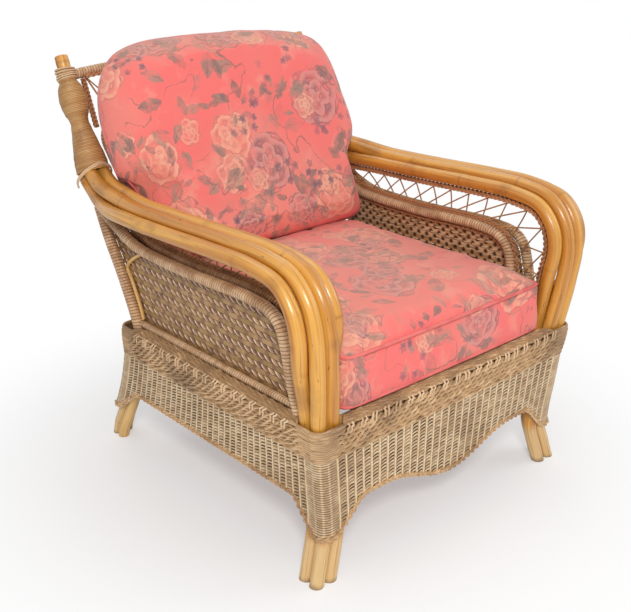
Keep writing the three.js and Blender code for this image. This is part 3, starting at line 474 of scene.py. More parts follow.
def cloth(name):
    """Faded coral cotton with a generic print of blossoms, leaf sprays and small violets."""
    m = Nodes(name, Roughness=0.88, Sheen_Weight=0.12, Sheen_Roughness=0.5)
    flat = m.node("Attribute", out=1, settings={"attribute_name": "print"})
    wander = m.node("TexNoise", out=1, Vector=flat, Scale=38.0, Detail=3.0, Roughness=0.65)
    shake = m.vector("SUBTRACT", wander, (0.5, 0.5, 0.5))
    shake = m.vector("MULTIPLY", shake, (0.02, 0.02, 0.0))
    drawn = m.vector("ADD", flat, shake)
    wear = m.noise(flat, 30.0, 4.0, 0.6)
    fade = m.noise(flat, 4.0, 2.0)
    color = m.mix((0.9, 0.175, 0.16), (0.84, 0.24, 0.195), m.ramp(fade, 0.4, 0.64))
    wash = m.noise(drawn, 11.0, 4.0, 0.62)
    color = m.mix(color, (0.88, 0.34, 0.26), m.ramp(wash, 0.52, 0.68, 0.0, 0.55))
    color = m.mix(color, (0.6, 0.22, 0.2), m.ramp(wash, 0.42, 0.3, 0.0, 0.35))

    def cells(scale, offset):
        """The nearest cell's middle, two random values of it, and the way from the middle."""
        moved = m.vector("ADD", drawn, (offset, offset * 0.7, 0.0))
        v = m.tree.nodes.new("ShaderNodeTexVoronoi")
        v.voronoi_dimensions = "2D"
        v.inputs["Scale"].default_value = scale
        v.inputs["Randomness"].default_value = 0.8
        m.put(v.inputs["Vector"], moved)
        centre = Value(m, v.outputs["Position"])
        away = m.vector("SUBTRACT", moved, centre)
        one, two = m.split(Value(m, v.outputs["Color"]), "SeparateColor")[:2]
        return centre, one, two, away

    def polar(away):
        x, y, _ = m.split(away)
        return m.length(away), m.math("ARCTAN2", y, x)

    def scattered(middle, density, low):
        return m.ramp(m.noise(middle, density, 1.0), low, low + 0.04)

    # Large open blossoms: rings of petals, each ring turned against the last, with washed shading
    blossoms = [(5.4, 0.31, 0.058, 0.082, 0.45), (6.4, 2.9, 0.03, 0.05, 0.6)]
    for scale, offset, small, large, dull in blossoms:
        middle, one, two, away = cells(scale, offset)
        reach, angle = polar(away)
        size = reach / m.ramp(one, 0.0, 1.0, small, large)
        ring = size * 3.4
        turned = m.floor(ring) * 1.9
        scallop = abs(m.math("SINE", angle * 2.5 + turned))
        petal = wash * 1.1 + ring + scallop * -0.55
        rim = m.fract(petal)
        inside = m.ramp(size + scallop * -0.16, 0.76, 0.86, 1.0, 0.0)
        bloom = m.mix((0.6, 0.17, 0.15), (0.88, 0.42, 0.29), m.ramp(rim, 0.0, 0.75))
        bloom = m.mix(bloom, (0.86, 0.46, 0.3), m.ramp(size, 0.75, 0.2, 0.0, 0.35))
        dusky = m.mix((0.22, 0.1, 0.12), (0.58, 0.27, 0.25), m.ramp(rim, 0.0, 0.8))
        bloom = m.mix(bloom, dusky, m.ramp(two, dull, dull + 0.08, 0.0, 0.85))
        color = m.mix(color, bloom, inside * m.ramp(wear, 0.34, 0.6, 0.3, 0.85))

    # Leaves in sprays
    leaves = [(13.0, 0.0, 0.034, 0.0165, 0.49), (18.0, 1.7, 0.024, 0.0115, 0.5),
              (26.0, 5.1, 0.016, 0.0075, 0.52)]
    for scale, offset, long, wide, low in leaves:
        middle, one, two, away = cells(scale, offset)
        reach, angle = polar(away)
        turn = angle - one * TURN
        a = reach * m.math("COSINE", turn) / long
        b = abs(reach * m.math("SINE", turn) / wide)
        belly = 1.0 - a * a
        leaf = m.ramp(belly - b, 0.0, 0.2)
        vein = m.ramp(b, 0.03, 0.14, 0.55, 0.0)
        there = scattered(middle, 6.5, low) * m.ramp(two, 0.2, 0.24)
        green = m.mix((0.4, 0.25, 0.19), (0.24, 0.16, 0.14), m.ramp(two, 0.3, 0.9))
        green = m.mix(green, (0.16, 0.09, 0.09), vein)
        weight = leaf * there * m.ramp(wear, 0.36, 0.6, 0.25, 0.85)
        color = m.mix(color, green, weight)

    # Small violets, in groups
    middle, one, two, away = cells(34.0, 4.3)
    reach, angle = polar(away)
    lobes = abs(m.math("COSINE", angle * 2.5 + one * 6.0))
    edge = lobes * 0.004 + 0.0075
    violet = m.ramp(edge - reach, 0.0, 0.002)
    there = scattered(middle, 7.0, 0.6) * m.ramp(two, 0.3, 0.34)
    tint = m.mix((0.13, 0.08, 0.115), (0.36, 0.19, 0.2), m.ramp(reach, 0.001, 0.011))
    color = m.mix(color, tint, violet * there * m.ramp(wear, 0.34, 0.6, 0.35, 0.85))

    # Thin stems
    path = m.noise(drawn, 8.0, 2.0, 0.45)
    stem = m.ramp(abs(path - 0.5), 0.002, 0.007, 1.0, 0.0)
    there = m.ramp(m.noise(flat, 6.5, 1.0), 0.45, 0.5)
    color = m.mix(color, (0.26, 0.14, 0.12), stem * there * 0.6)

    # Faces that point up are mixed towards a paler, yellower colour
    facing_up = m.split(m.node("TexCoord", out=1))[2]
    color = m.mix(color, (0.68, 0.36, 0.25), m.ramp(facing_up, 0.6, 0.95, 0.0, 0.3))
    threads = m.noise(flat, 1500.0, 1.0)
    folds = m.noise(flat, 26.0, 3.0, 0.6)
    height = threads * 0.12 + folds
    return m.finish(color, None, height, 0.35, 0.0024)


def staked(name, pale, mid, dark):
    """The skirt: twined rows between upright stakes. Its uv counts 20 mm for each stake, and
    tone is 1 where the rows wrap a leg."""
    m = Nodes(name, Roughness=0.6)
    u, v = m.along()
    p = m.where()
    stake = u / 0.02
    gap_index = m.floor(stake)
    s = m.fract(stake) - 0.5
    odd = gap_index % 2.0 * 0.5
    rows = v / (ROW / 1000) + (odd - s * 0.55)
    index = m.floor(rows)
    b = abs(m.fract(rows) - 0.5)
    side = abs(s)
    leg = m.tone()
    cell = m.node("TexWhiteNoise", settings={"noise_dimensions": "2D"}, Vector=m.vec(gap_index, index))
    strand = m.noise(m.vec(u * 45.0, index * 2.7), 1.0, 2.0)
    fibre = m.noise(m.vec(u * 70.0, v * 1300.0), 1.0, 2.0)
    patch = m.noise(p, 8.0, 2.0)
    color = m.mix(pale, mid, m.ramp(strand, 0.4, 0.58))
    color = m.mix(color, dark, m.ramp(patch, 0.48, 0.66, 0.0, 0.6))
    # Painted highlight: the rib over each stake is made paler
    rib = m.ramp(side, 0.3, 0.46)
    color = m.mix(color, scaled(pale, 1.12, 1.1, 1.05), rib * 0.6)
    color = m.mix(color, scaled(pale, 1.5, 1.5, 1.6), m.ramp(fibre, 0.6, 0.7, 0.0, 0.55))
    open_weave = 1.0 - leg
    across = m.ramp(side, 0.29, 0.44, 1.0, 0.0)
    slot = m.ramp(b, 0.16, 0.32)
    depth = m.ramp(cell, 0.0, 0.8, 0.55, 1.0)
    gap = across * slot * (depth * open_weave)
    seam = m.ramp(abs(side - 0.36), 0.0, 0.07, 0.55, 0.0) * open_weave
    wraps = m.fract(v / 0.0052)
    line = m.ramp(abs(wraps - 0.5), 0.2, 0.46, 0.0, 0.85)
    shadow = m.most(line * leg, m.most(gap, seam))
    deep = scaled(dark, 0.16, 0.14, 0.12)
    color = m.mix(color, deep, shadow)
    height = fibre * 0.2 - shadow
    return m.finish(color, m.ramp(fibre, 0.3, 0.7, 0.5, 0.68), height, 0.6, 0.0012)


def roped(name, pale, mid, dark):
    """The outside of a side panel: twisted rows with pale diagonals between flat rows; the pale diagonals
    are painted highlights, and the dark between strands and rows is painted shade.
    """
    m = Nodes(name, Roughness=0.5)
    u, v = m.along()
    row = v / (PANEL_ROW / 1000)
    index = m.floor(row)
    part = m.fract(row)
    rope = m.ramp(index % 2.0, 0.4, 0.6, 1.0, 0.0)
    shift = index * 0.5 % 2.0 * 0.5
    slant = (part - 0.5) * -0.7
    twist = m.fract(u / 0.02 + (shift + slant))
    lump = abs(twist - 0.5)
    fibre = m.noise(m.vec(u * 80.0, v * 1100.0), 1.0, 2.0)
    zone = m.noise(m.vec(u * 30.0, index * 5.3), 1.0, 2.0)
    light = m.noise(m.vec(u * 12.0, index * 2.1), 1.0, 1.0)
    twisted = m.mix(mid, dark, m.ramp(zone, 0.4, 0.62))
    # Painted highlight: a pale streak along the crest of each twist, stronger where the light noise is
    # high
    painted_highlight = m.ramp(lump, 0.05, 0.17, 1.0, 0.0) * m.ramp(light, 0.35, 0.6, 0.45, 1.0)
    twisted = m.mix(twisted, scaled(pale, 1.5, 1.6, 1.75), painted_highlight)
    # Painted shade at the ends of each twist, where it meets the next
    twisted = m.mix(twisted, scaled(dark, 0.22, 0.18, 0.2), m.ramp(lump, 0.32, 0.48, 0.0, 0.9))
    strands = abs(m.fract(part * 3.0) - 0.5)
    # Painted shade: the flat rows go darker where their strands pass under
    under = m.math("COSINE", (u / 0.04 + shift) * TURN)
    flat = m.mix(scaled(mid, 1.25, 1.3, 1.3), scaled(mid, 0.85, 0.9, 0.6), m.ramp(zone, 0.35, 0.6))
    flat = m.mix(flat, dark, m.ramp(under, 0.1, 0.9, 0.0, 0.75))
    flat = m.mix(flat, pale, m.ramp(fibre, 0.56, 0.72, 0.0, 0.6))
    # Painted shade in the lines between the strands of a flat row
    flat = m.mix(flat, scaled(dark, 0.18, 0.15, 0.12), m.ramp(strands, 0.32, 0.5, 0.0, 0.85))
    color = m.mix(flat, twisted, rope)
    # Painted shade along the edges between rows
    edge = abs(part - 0.5)
    color = m.mix(color, scaled(dark, 0.16, 0.13, 0.1), m.ramp(edge, 0.38, 0.5, 0.0, 0.8))
    color = m.mix(scaled(dark, 0.25, 0.2, 0.18), color, m.ramp(m.tone(), 0.02, 0.4))
    return m.finish(color, m.ramp(fibre, 0.3, 0.7, 0.4, 0.6), fibre, 0.4, 0.0008)


def piped(name):
    m = Nodes(name, Roughness=0.85)
    p = m.where()
    color = m.mix((0.8, 0.19, 0.17), (0.68, 0.13, 0.12), m.ramp(m.noise(p, 20.0, 2.0), 0.4, 0.65))
    threads = m.noise(p, 1400.0, 1.0)
    return m.finish(color, None, threads, 0.15, 0.0004)


HONEY = polished("varnished_rattan", (0.74, 0.37, 0.062), (0.55, 0.22, 0.024), (0.2, 0.06, 0.01),
                 0.34, 0.4)
BARE = polished("bare_rattan", (0.8, 0.52, 0.2), (0.62, 0.36, 0.11), (0.3, 0.15, 0.04), 0.45, 0.15)
WOUND = wound("wound_cane", (0.76, 0.52, 0.31), (0.58, 0.34, 0.17), (0.34, 0.17, 0.07), 0.0065)
STILE = wound("stile_cane", (0.72, 0.46, 0.26), (0.52, 0.29, 0.14), (0.32, 0.15, 0.06), 0.0065,
              bare_below=0.2)
BOUND = wound("bound_cane", (0.7, 0.42, 0.16), (0.54, 0.27, 0.085), (0.3, 0.11, 0.03), 0.0034)
INSIDE = woven("inner_weave", (0.7, 0.44, 0.24), (0.5, 0.27, 0.12), (0.26, 0.13, 0.055), 0.004)
BORDER = woven("border_cane", (0.76, 0.52, 0.29), (0.44, 0.26, 0.12), (0.16, 0.08, 0.035), 0.25)
PLAIT = woven("plaited_cane", (0.74, 0.5, 0.28), (0.5, 0.29, 0.13), (0.24, 0.12, 0.05), 0.25)
BRAID = woven("arm_braid_cane", (0.6, 0.32, 0.15), (0.4, 0.17, 0.065), (0.2, 0.075, 0.03), 0.25)
PALE = woven("pale_cane", (0.86, 0.66, 0.44), (0.72, 0.5, 0.3), (0.4, 0.24, 0.12), 0.25)
CANE = woven("thin_cane", (0.56, 0.31, 0.11), (0.38, 0.18, 0.055), (0.18, 0.08, 0.025), 0.25)
SKIRT = staked("skirt_cane", (0.8, 0.6, 0.37), (0.6, 0.4, 0.22), (0.34, 0.2, 0.095))
ROPED = roped("side_cane", (0.62, 0.42, 0.28), (0.44, 0.25, 0.11), (0.24, 0.115, 0.06))
CLOTH = cloth("floral_cotton")
PIPING = piped("piping_cotton")


# Lines of the drawing
def back_plane(z):
    return BACK_SEAT_Y + (z - SEAT_Z) * math.tan(LEAN)


def up_back(z):
    return (z - SEAT_Z) / math.cos(LEAN)


def lean(x, v, n=0.0):
    """A point of the leaning plane: across, up the plane and forward of it."""
    x, v, n = np.broadcast_arrays(np.asarray(x, float), np.asarray(v, float), np.asarray(n, float))
    return np.stack([
        x,
        BACK_SEAT_Y + v * math.sin(LEAN) - n * math.cos(LEAN),
        SEAT_Z + v * math.cos(LEAN) + n * math.sin(LEAN),
    ], -1)


LEAN_UP = np.array([0, math.sin(LEAN), math.cos(LEAN)])
LEAN_OUT = np.array([0, -math.cos(LEAN), math.sin(LEAN)])


def arm_line(s):
    bend = ARM_BEND_R
    rear = back_plane(POST_WRAP_Z)
    leg = lambda part, z: (s * lerp(FOOT_X, WAIST_X, part), lerp(FOOT_Y, WAIST_Y, part), z)
    rise = lambda part, z: (s * lerp(SEAT_X, ARM_X, part), lerp(SEAT_Y, ARM_NOSE_Y, part), z)
    return smooth([
        leg(-0.18, -16), leg(0.36, WAIST_Z / 3), leg(1, WAIST_Z),
        (s * lerp(WAIST_X, SEAT_X, 0.4), lerp(WAIST_Y, SEAT_Y, 0.4), lerp(WAIST_Z, SEAT_Z, 0.48)),
        rise(0, SEAT_Z), rise(0.6, lerp(SEAT_Z, ARM_Z - bend, 0.6)), rise(0.95, ARM_Z - bend * 0.92),
        (s * ARM_X, ARM_NOSE_Y + bend * 0.13, ARM_Z - bend * 0.46),
        (s * ARM_X, ARM_NOSE_Y + bend * 0.46, ARM_Z - bend * 0.11),
        *[(s * lerp(ARM_X, POST_X, turned), lerp(ARM_NOSE_Y, rear, along), ARM_Z + above)
          for along, above, turned in ARM_RUN],
        (s * lerp(ARM_X, POST_X, 0.88), lerp(ARM_NOSE_Y, rear, 0.965), lerp(ARM_Z, POST_WRAP_Z, 0.42)),
        *[(s * POST_X, back_plane(POST_WRAP_Z + up), POST_WRAP_Z + up) for up in (-4, 12, 30)],
    ])


PITCH = POLE_D + POLE_GAP


def bundle(s):
    """The four arm poles of one side: a function of (pole, extra offset over the bend)."""
    line = even(arm_line(s), step=6)
    t = tangents(line)
    out = unit(np.array([s, 0, 0]) - s * t[:, :1] * t)
    over = np.cross(out, t) * s
    rear = back_plane(POST_WRAP_Z)
    from_seat = 1 - smoothstep(line[:, 2], SEAT_Z - 10, ARM_Z - ARM_BEND_R * 0.6)
    to_post = smoothstep(line[:, 1], lerp(ARM_NOSE_Y, rear, 0.685), lerp(ARM_NOSE_Y, rear, 0.973))
    turn = np.radians(lerp(ARM_ROW, 90, np.maximum(np.where(line[:, 1] < 0, from_seat, 0), to_post)))
    run, rise = PITCH * np.cos(turn), PITCH * np.sin(turn)

    def at(k, extra=0.0):
        outward = [0, -run, -run - PITCH, -2 * run - PITCH][k] + run + PITCH / 2
        above = (rise if k in (1, 2) else 0) - rise / 2 + extra
        return line + out * outward[:, None] + over * np.asarray(above)[:, None]

    return at


BUNDLES = {name: bundle(s) for name, s in SIDES.items()}
BACK_PITCH = 2 * (BACK_POLE_D / 2) * math.cos(math.pi / 8) + BACK_POLE_GAP


def back_leg_pole(s, outward, behind):
    foot = lambda part, z: (s * lerp(BACK_FOOT_X, BACK_WAIST_X, part),
                            lerp(BACK_FOOT_Y, BACK_WAIST_Y, part), z)
    shin = lambda part, z: (s * lerp(BACK_WAIST_X, BACK_LEG_X, part),
                            lerp(BACK_WAIST_Y, BACK_LEG_Y, part), z)
    line = even(smooth([
        foot(-0.14, -16), foot(0.14, WAIST_Z / 4), foot(1, WAIST_Z),
        shin(0.56, (WAIST_Z + SEAT_Z) * 0.42), shin(0.96, SEAT_Z - 3 * BACK_LEG_TOP),
        shin(1, SEAT_Z - BACK_LEG_TOP),
    ]), step=6)
    t = tangents(line)
    rear = unit(np.array([0, 1, 0]) - t[:, 1:2] * t)
    beside = unit(np.array([s, 0, 0]) - s * t[:, :1] * t)
    return line + (beside * outward + rear * behind) * BACK_PITCH / 2


STILE_X = BACK_LEG_X + BACK_PITCH / 2
STILE_FOOT_Y = BACK_LEG_Y - BACK_PITCH / 2
STILE_TOP_Z = ARM_Z - POLE_D - 6
STILE_UPPER = [
    (lerp(STILE_FOOT_Y, back_plane(STILE_TOP_Z), swing), lerp(SEAT_Z - BACK_LEG_TOP, STILE_TOP_Z, rise))
    for rise, swing in ((0.1, 0.04), (0.26, 0.18), (0.5, 0.44), (0.76, 0.76), (1, 1))
]


def stile_line(s):
    leg = back_leg_pole(s, 1, -1)
    upper = smooth([leg[-1], *[(s * STILE_X, y, z) for y, z in STILE_UPPER]])
    return even(np.vstack([leg, upper[1:]]), step=6)


def arch_line(z, nose_y, foot_y, end_y, rise, foot_z):
    bend = 62
    return smooth([
        (foot_y, foot_z),
        (lerp(nose_y, foot_y, 0.45), lerp(foot_z, z - bend, 0.5)),
        (nose_y, z - bend),
        (nose_y + bend * 0.22, z - bend * 0.4),
        (nose_y + bend * 0.62, z - bend * 0.07),
        (nose_y + bend * 1.5, z + 4),
        (0, z), (110, z + 1), (190, z + 7), (244, z + 24),
        (end_y, z + rise),
    ])


RAIL_Z = PAD_Z - GAP - SLAT_D * 0.924 - GAP - RAIL_D / 2 * 0.924
RAIL_TOP = RAIL_Z + RAIL_D / 2 * 0.924 + GAP
OUTER_ARCH = arch_line(z=ARCH_Z, nose_y=-286, foot_y=ARCH_FOOT_Y, end_y=316, rise=55, foot_z=SEAT_Z)
INNER_ARCH = arch_line(z=ARCH_Z - 1, nose_y=-268, foot_y=-280, end_y=284, rise=44, foot_z=RAIL_Z)


def flat_offset(line, distance):
    t = tangents(line)
    return line + np.stack([-t[:, 1], t[:, 0]], -1) * distance


def on_side(s, x, line):
    return np.stack([np.full(len(line), s * x), line[:, 0], line[:, 1]], -1)


def clipped(points, normal, origin, keep=1):
    """The part of a line on one side of a plane, ending exactly on it."""
    d = (points - np.asarray(origin, float)) @ np.asarray(normal, float) * keep
    inside = np.nonzero(d > 0)[0]
    a, b = inside[0], inside[-1]
    out = [points[a:b + 1]]
    if a > 0:
        out.insert(0, lerp(points[a], points[a - 1], d[a] / (d[a] - d[a - 1]))[None])
    if b < len(points) - 1:
        out.append(lerp(points[b], points[b + 1], d[b] / (d[b] - d[b + 1]))[None])
    return np.vstack(out)


def knuckled(points, radius, every, start, swell=0.0009, width=0.006):
    """Radius and tone of a rattan pole with its joints."""
    run = lengths(points)
    r = np.full(len(run), radius)
    tone = np.ones(len(run))
    at = start
    while at < run[-1]:
        d = np.abs(run - at)
        r = r + swell * np.exp(-((d / width) ** 2))
        tone = np.minimum(tone, 1 - 0.7 * np.exp(-((d / 0.0022) ** 2)))
        at += every * rng.uniform(0.8, 1.25)
    count = int((run[-1] + 0.1) / 0.05) + 1
    wobble = np.interp(run, np.arange(0, run[-1] + 0.1, 0.05), rng.uniform(-1, 1, count))
    return r * (1 + 0.012 * wobble), tone


def level_foot(body):
    """Leg ends stand flat on the floor."""
    for block in body.v:
        low = block[:, 2] < 0.0
        block[low, 2] = 0.0


# Arms
def add_arms():
    body = Body()
    names = []
    for name, s in SIDES.items():
        for k, pole in enumerate(["outer", "upper_outer", "upper_inner", "inner"]):
            line = BUNDLES[name](k)
            foot = SEAT_Z - INNER_POLE_DEPTH if k == 3 else 0
            line = clipped(line, (0, 0, 1), (0, 0, foot - (0 if k == 3 else 4)))
            cut = lean(0, up_back(POST_WRAP_Z) + 10)
            line = clipped(line, LEAN_UP, cut, keep=-1)
            line = place(even(line, step=5))
            radius, tone = knuckled(line, POLE_D / 2000, 0.42, rng.uniform(0.1, 0.35), swell=0.0005)
            body.tube(line, radius, 20, ref=ACROSS, tone=tone, start=rng.uniform(0, 9))
            names.append(f"arm_pole_{pole}_{name}")
    level_foot(body)
    finished(body, "arm_poles", HONEY, "polished_rattan", *names)

    # A nail hole in the near arm, low on its innermost pole, drawn as a black disc standing a little out
    # of the pole: its dark is painted shade
    line = place(even(BUNDLES["left"](3), step=2))
    hole = line[np.argmin(np.abs(line[:, 2] - 0.452) + (line[:, 1] > 0))]
    way = unit(np.array([-0.35, -0.93, 0.1]))
    nail = Body()
    ends = [hole + way * (POLE_D / 2000 - 0.001), hole + way * (POLE_D / 2000 + 0.0006)]
    nail.tube(np.array(ends), 0.0017, 12, tone=np.zeros(2))
    finished(nail, "arm_nail_hole", BRAID, "polished_rattan")

    legs = Body()
    names = []
    for name, s in SIDES.items():
        for which, outward in (("corner", 1), ("inner", -1)):
            line = clipped(back_leg_pole(s, outward, 1), (0, 0, 1), (0, 0, -4))
            line = place(even(line, step=6))
            radius, tone = knuckled(line, BACK_POLE_D / 2000, 0.22, 0.04)
            legs.tube(line, radius, 18, tone=tone, start=rng.uniform(0, 9))
            names.append(f"back_leg_pole_{which}_{name}")
    level_foot(legs)
    finished(legs, "back_leg_poles", BARE, "bare_rattan", *names)

    stiles = Body()
    for name, s in SIDES.items():
        line = clipped(stile_line(s), (0, 0, 1), (0, 0, -4))
        line = place(even(line, step=5))
        stiles.tube(line, BACK_POLE_D / 2000, 20, start=rng.uniform(0, 9))
    level_foot(stiles)
    finished(stiles, "back_stiles", STILE, "wrapped_rattan",
             "back_leg_stile_left", "back_leg_stile_right")


def add_posts():
    foot, top = up_back(POST_WRAP_Z), up_back(POST_COLLAR_Z)
    control = [(0, 35), (0.06, 34.6), (0.12, 33.5), (0.22, 29.5), (0.36, 23.5), (0.5, 19.5), (0.57, 25),
               (0.68, 29), (0.8, 26), (0.88, 18.5), (0.94, 18.5), (1, 18.5)]
    profile = smooth([(lerp(foot, top, h), r) for h, r in control])
    run = lengths(profile)
    wraps = Body()
    poles = Body()
    cords = Body()
    pitch = 3.4
    for s in SIDES.values():
        at = np.arange(0, run[-1], pitch / 5)
        v = np.interp(at, run, profile[:, 0])
        turn = np.abs(np.sin(np.pi * at / pitch)) ** 0.7
        uneven = 0.3 * np.sin(at * 0.31 + 3 * np.sin(at * 0.05))
        r = np.interp(at, run, profile[:, 1]) + 0.7 * turn - 0.3 + uneven
        a = np.arange(48) / 48 * 2 * np.pi
        ring = lean(s * POST_X + r[:, None] * np.cos(a), v[:, None], r[:, None] * np.sin(a))
        # The groove beside each turn is darker than its crest: painted shade in the grooves
        wear_and_groove_shade = 0.5 + 0.5 * turn
        wraps.grid(place(ring).reshape(ring.shape), at / 1000, np.arange(48) / 48, loop=True,
                   tone=np.repeat(wear_and_groove_shade[:, None], 48, 1), flip=True)
        line = place(lean(s * POST_X, np.linspace(foot - 4, up_back(POST_TOP_Z) - 4, 40)))
        radius, tone = knuckled(line, POLE_D / 2000, 9.0, lengths(line)[-1] - 0.012, swell=0.0006)
        poles.tube(line, radius, 24, tone=tone, round_ends=0.25, start=rng.uniform(0, 9))
        # Collar: flat turns round the post and the end of the top rail
        for k in range(5):
            t = np.linspace(0, 2 * np.pi, 41)
            level = top - 22 + k * 5.2
            reach = 19.3 + (1.2 if k in (1, 3) else 0)
            loop = lean(s * POST_X + reach * np.cos(t), level + 1.2 * np.sin(t + k), reach * np.sin(t))
            cords.tube(place(loop), 0.0026, 8, squash=0.7, caps=False, start=k * 2.3)
        # Pale cord over the ends of the arm poles, peaked ahead
        t = np.linspace(-1, 1, 41)
        angle = t * 2.3 + np.pi / 2
        hang = foot + 8 - 34 * np.abs(t) ** 1.25
        reach = 36.5 + 3.5 * np.abs(t) ** 2
        for lift in (0.0, 3.6):
            loop = lean(s * POST_X + reach * np.cos(angle), hang + lift, reach * np.sin(angle))
            cords.tube(place(loop), 0.0018, 8, start=lift)
    finished(wraps, "post_wraps", BOUND, "wrapped_rattan", "post_binding_left", "post_binding_right")
    finished(poles, "post_poles", HONEY, "polished_rattan", "post_pole_left", "post_pole_right")
    finished(cords, "post_cords", PALE, "wrapped_rattan")


def add_seat_frame():
    body = Body()
    slats = [f"seat_slat_{i}" for i in range(1, 8)]
    rails = [f"seat_rail_{which}" for which in ("front", "back", "left", "right")]
    for node in [*rails[:2], *slats, *rails[2:]]:
        low, high = (np.array(c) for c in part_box(node))
        size = high - low
        axis = int(np.argmax(size))
        middle = (low + high) / 2
        a, b = middle.copy(), middle.copy()
        a[axis], b[axis] = low[axis] + 0.001, high[axis] - 0.001
        radius = (RAIL_D if "rail" in node else SLAT_D) / 2000
        line = even(np.array([a, b]), step=0.02)
        r, tone = knuckled(line, radius * 0.97, 0.25, 0.1)
        body.tube(line, r, 16, tone=tone, start=rng.uniform(0, 9))
    finished(body, "seat_frame", BARE, "bare_rattan", *slats, *rails)


# Skirt
def at_height(line, z):
    rising = np.maximum.accumulate(line[:, 2])
    return np.stack([np.interp(z, rising, line[:, k]) for k in range(2)], -1)


BACK_REACH = BACK_POLE_D / 2 + 4.6
CORNERS = [
    (BUNDLES["left"](1)[:160], POLE_D / 2, "front"),
    (BUNDLES["right"](1)[:160], POLE_D / 2, "side"),
    (back_leg_pole(1, 1, 1), BACK_REACH, "back"),
    (back_leg_pole(-1, 1, 1), BACK_REACH, "side"),
]


def corner_point(corner, angle, z, offset):
    xy = at_height(corner[0], z)
    reach = corner[1] + WICKER_CLEAR + offset
    return np.stack([xy[..., 0] + np.cos(angle) * reach, xy[..., 1] + np.sin(angle) * reach, z], -1)


class Column:
    """One upright line of the wicker; at(z, offset) is a point on it."""

    def __init__(self, a, b, angle, part, edge, away, x):
        self.a, self.b, self.angle, self.part = a, b, angle, part
        self.edge, self.away, self.x = edge, away, x

    def at(self, z, offset):
        z = np.asarray(z, float)
        p = corner_point(self.a, self.angle, z, offset)
        return p if self.part == 0 else lerp(p, corner_point(self.b, self.angle, z, offset), self.part)

    def hem(self):
        f = SKIRT_FOOT
        if self.away == 0:
            return f["leg"]
        if self.edge != "front":
            return lerp(f["leg"], f["side"], smoothstep(self.away, 0, f["side_run"]))
        belly = (1 - math.cos(math.pi * min(abs(self.x) / f["peak_x"], 1))) / 2
        level = lerp(f["middle"], f["peak"], belly)
        return lerp(f["leg"], level, smoothstep(self.away, 0, f["front_run"]))


def columns(steps, corner_steps):
    out = []
    for i, corner in enumerate(CORNERS):
        following = CORNERS[(i + 1) % 4]
        start = math.pi + i * math.pi / 2
        end = start + math.pi / 2
        for k in range(corner_steps + 1):
            angle = lerp(start, end, k / corner_steps)
            out.append(Column(corner, following, angle, 0, corner[2], 0, 0))
        count = steps[corner[2]]
        first = corner_point(corner, end, np.array(168.0), 0)
        last = corner_point(following, end, np.array(168.0), 0)
        for k in range(1, count):
            middle = lerp(first, last, k / count)
            away = min(np.linalg.norm(middle - first), np.linalg.norm(middle - last))
            out.append(Column(corner, following, end, k / count, corner[2], away, middle[0]))
    return out


def add_skirt():
    stakes = {"front": 32, "side": 34, "back": 32}
    sub = 6
    cols = columns({edge: n * sub for edge, n in stakes.items()}, 9)
    # The first upright of each edge starts a new stake, so that the ribs keep step with the grid
    stake, count = [], 0.0
    for i, c in enumerate(cols):
        stake.append(count)
        following = cols[(i + 1) % len(cols)]
        on_corner = c.part == 0 and following.part == 0 and c.a is following.a
        count += (1 / 9 * 2) if on_corner else 1 / sub
    stake = np.array(stake)
    rows = 108
    top = SEAT_Z - BORDER_H + 3
    outer, inner, tone = [], [], []
    level = np.linspace(0, 1, rows)
    for c, k in zip(cols, stake):
        foot = c.hem()
        z = lerp(foot, top, level)
        s = k - math.floor(k) - 0.5
        on_leg = smoothstep(22 - c.away, 0, 14) if c.away else 1.0
        rib = smoothstep(abs(s), 0.22, 0.42)
        b = z / ROW + 0.5 * (math.floor(k) % 2) - 0.55 * s
        row = np.abs(np.sin(np.pi * b)) ** 0.8
        woven_height = 0.3 + 0.8 * rib + 0.45 * row * (1 - rib) - 0.5 * (1 - row) * (1 - rib)
        height = lerp(woven_height, 0.75, on_leg)
        outer.append(c.at(z, 2.4 + 3.0 * height))
        inner.append(c.at(z, 1.2))
        tone.append(np.full(rows, on_leg))
    outer, inner, tone = np.array(outer), np.array(inner), np.array(tone)
    close = lambda a: np.concatenate([a, a[:1]])
    us = np.append(stake, count) * 0.02
    vs = np.linspace(0.098, top / 1000, rows)
    body = Body()
    body.grid(place(close(outer)).reshape(-1, rows, 3), us, vs, tone=close(tone))
    skirt_uv(body, close(outer), us)
    body.grid(place(close(inner)).reshape(-1, rows, 3)[:, ::9], us, vs[::9], flip=True,
              tone=close(tone)[:, ::9])
    finished(body, "skirt", SKIRT, "wicker", "skirt_weave")
    add_border()

    hem = Body()
    cols = columns({"front": 170, "side": 160, "back": 150}, 10)
    path = np.array([c.at(c.hem() - 3.6, 3.8) for c in cols])
    path = np.vstack([path, path[:1]])
    plait(hem, place(even(path, step=2.5)), UP, 0.0034, 0.0024, 0.042, 0.0027)
    finished(hem, "skirt_hem", PLAIT, "wicker", "skirt_hem_braid")


def plait(body, line, ref, wide, deep, period, radius, sides=6, strands=3):
    """A flat braid of strands along a line. ref is across its width."""
    _, side, up = frames(line, ref)
    run = lengths(line)
    for k in range(strands):
        phase = 2 * np.pi * (run / period + k / strands)
        strand = line + side * (np.sin(phase) * wide)[:, None] + up * (np.sin(2 * phase) * deep)[:, None]
        body.tube(strand, radius, sides, ref=ref, start=k * 1.3)


# Sides
def in_outline(y, z, outline):
    inside = np.zeros(y.shape, bool)
    for (y0, z0), (y1, z1) in zip(outline, np.roll(outline, -1, axis=0)):
        cross = (z0 > z) != (z1 > z)
        at = (y1 - y0) * (z - z0) / (z1 - z0 + 1e-12) + y0
        inside ^= cross & (y < at)
    return inside


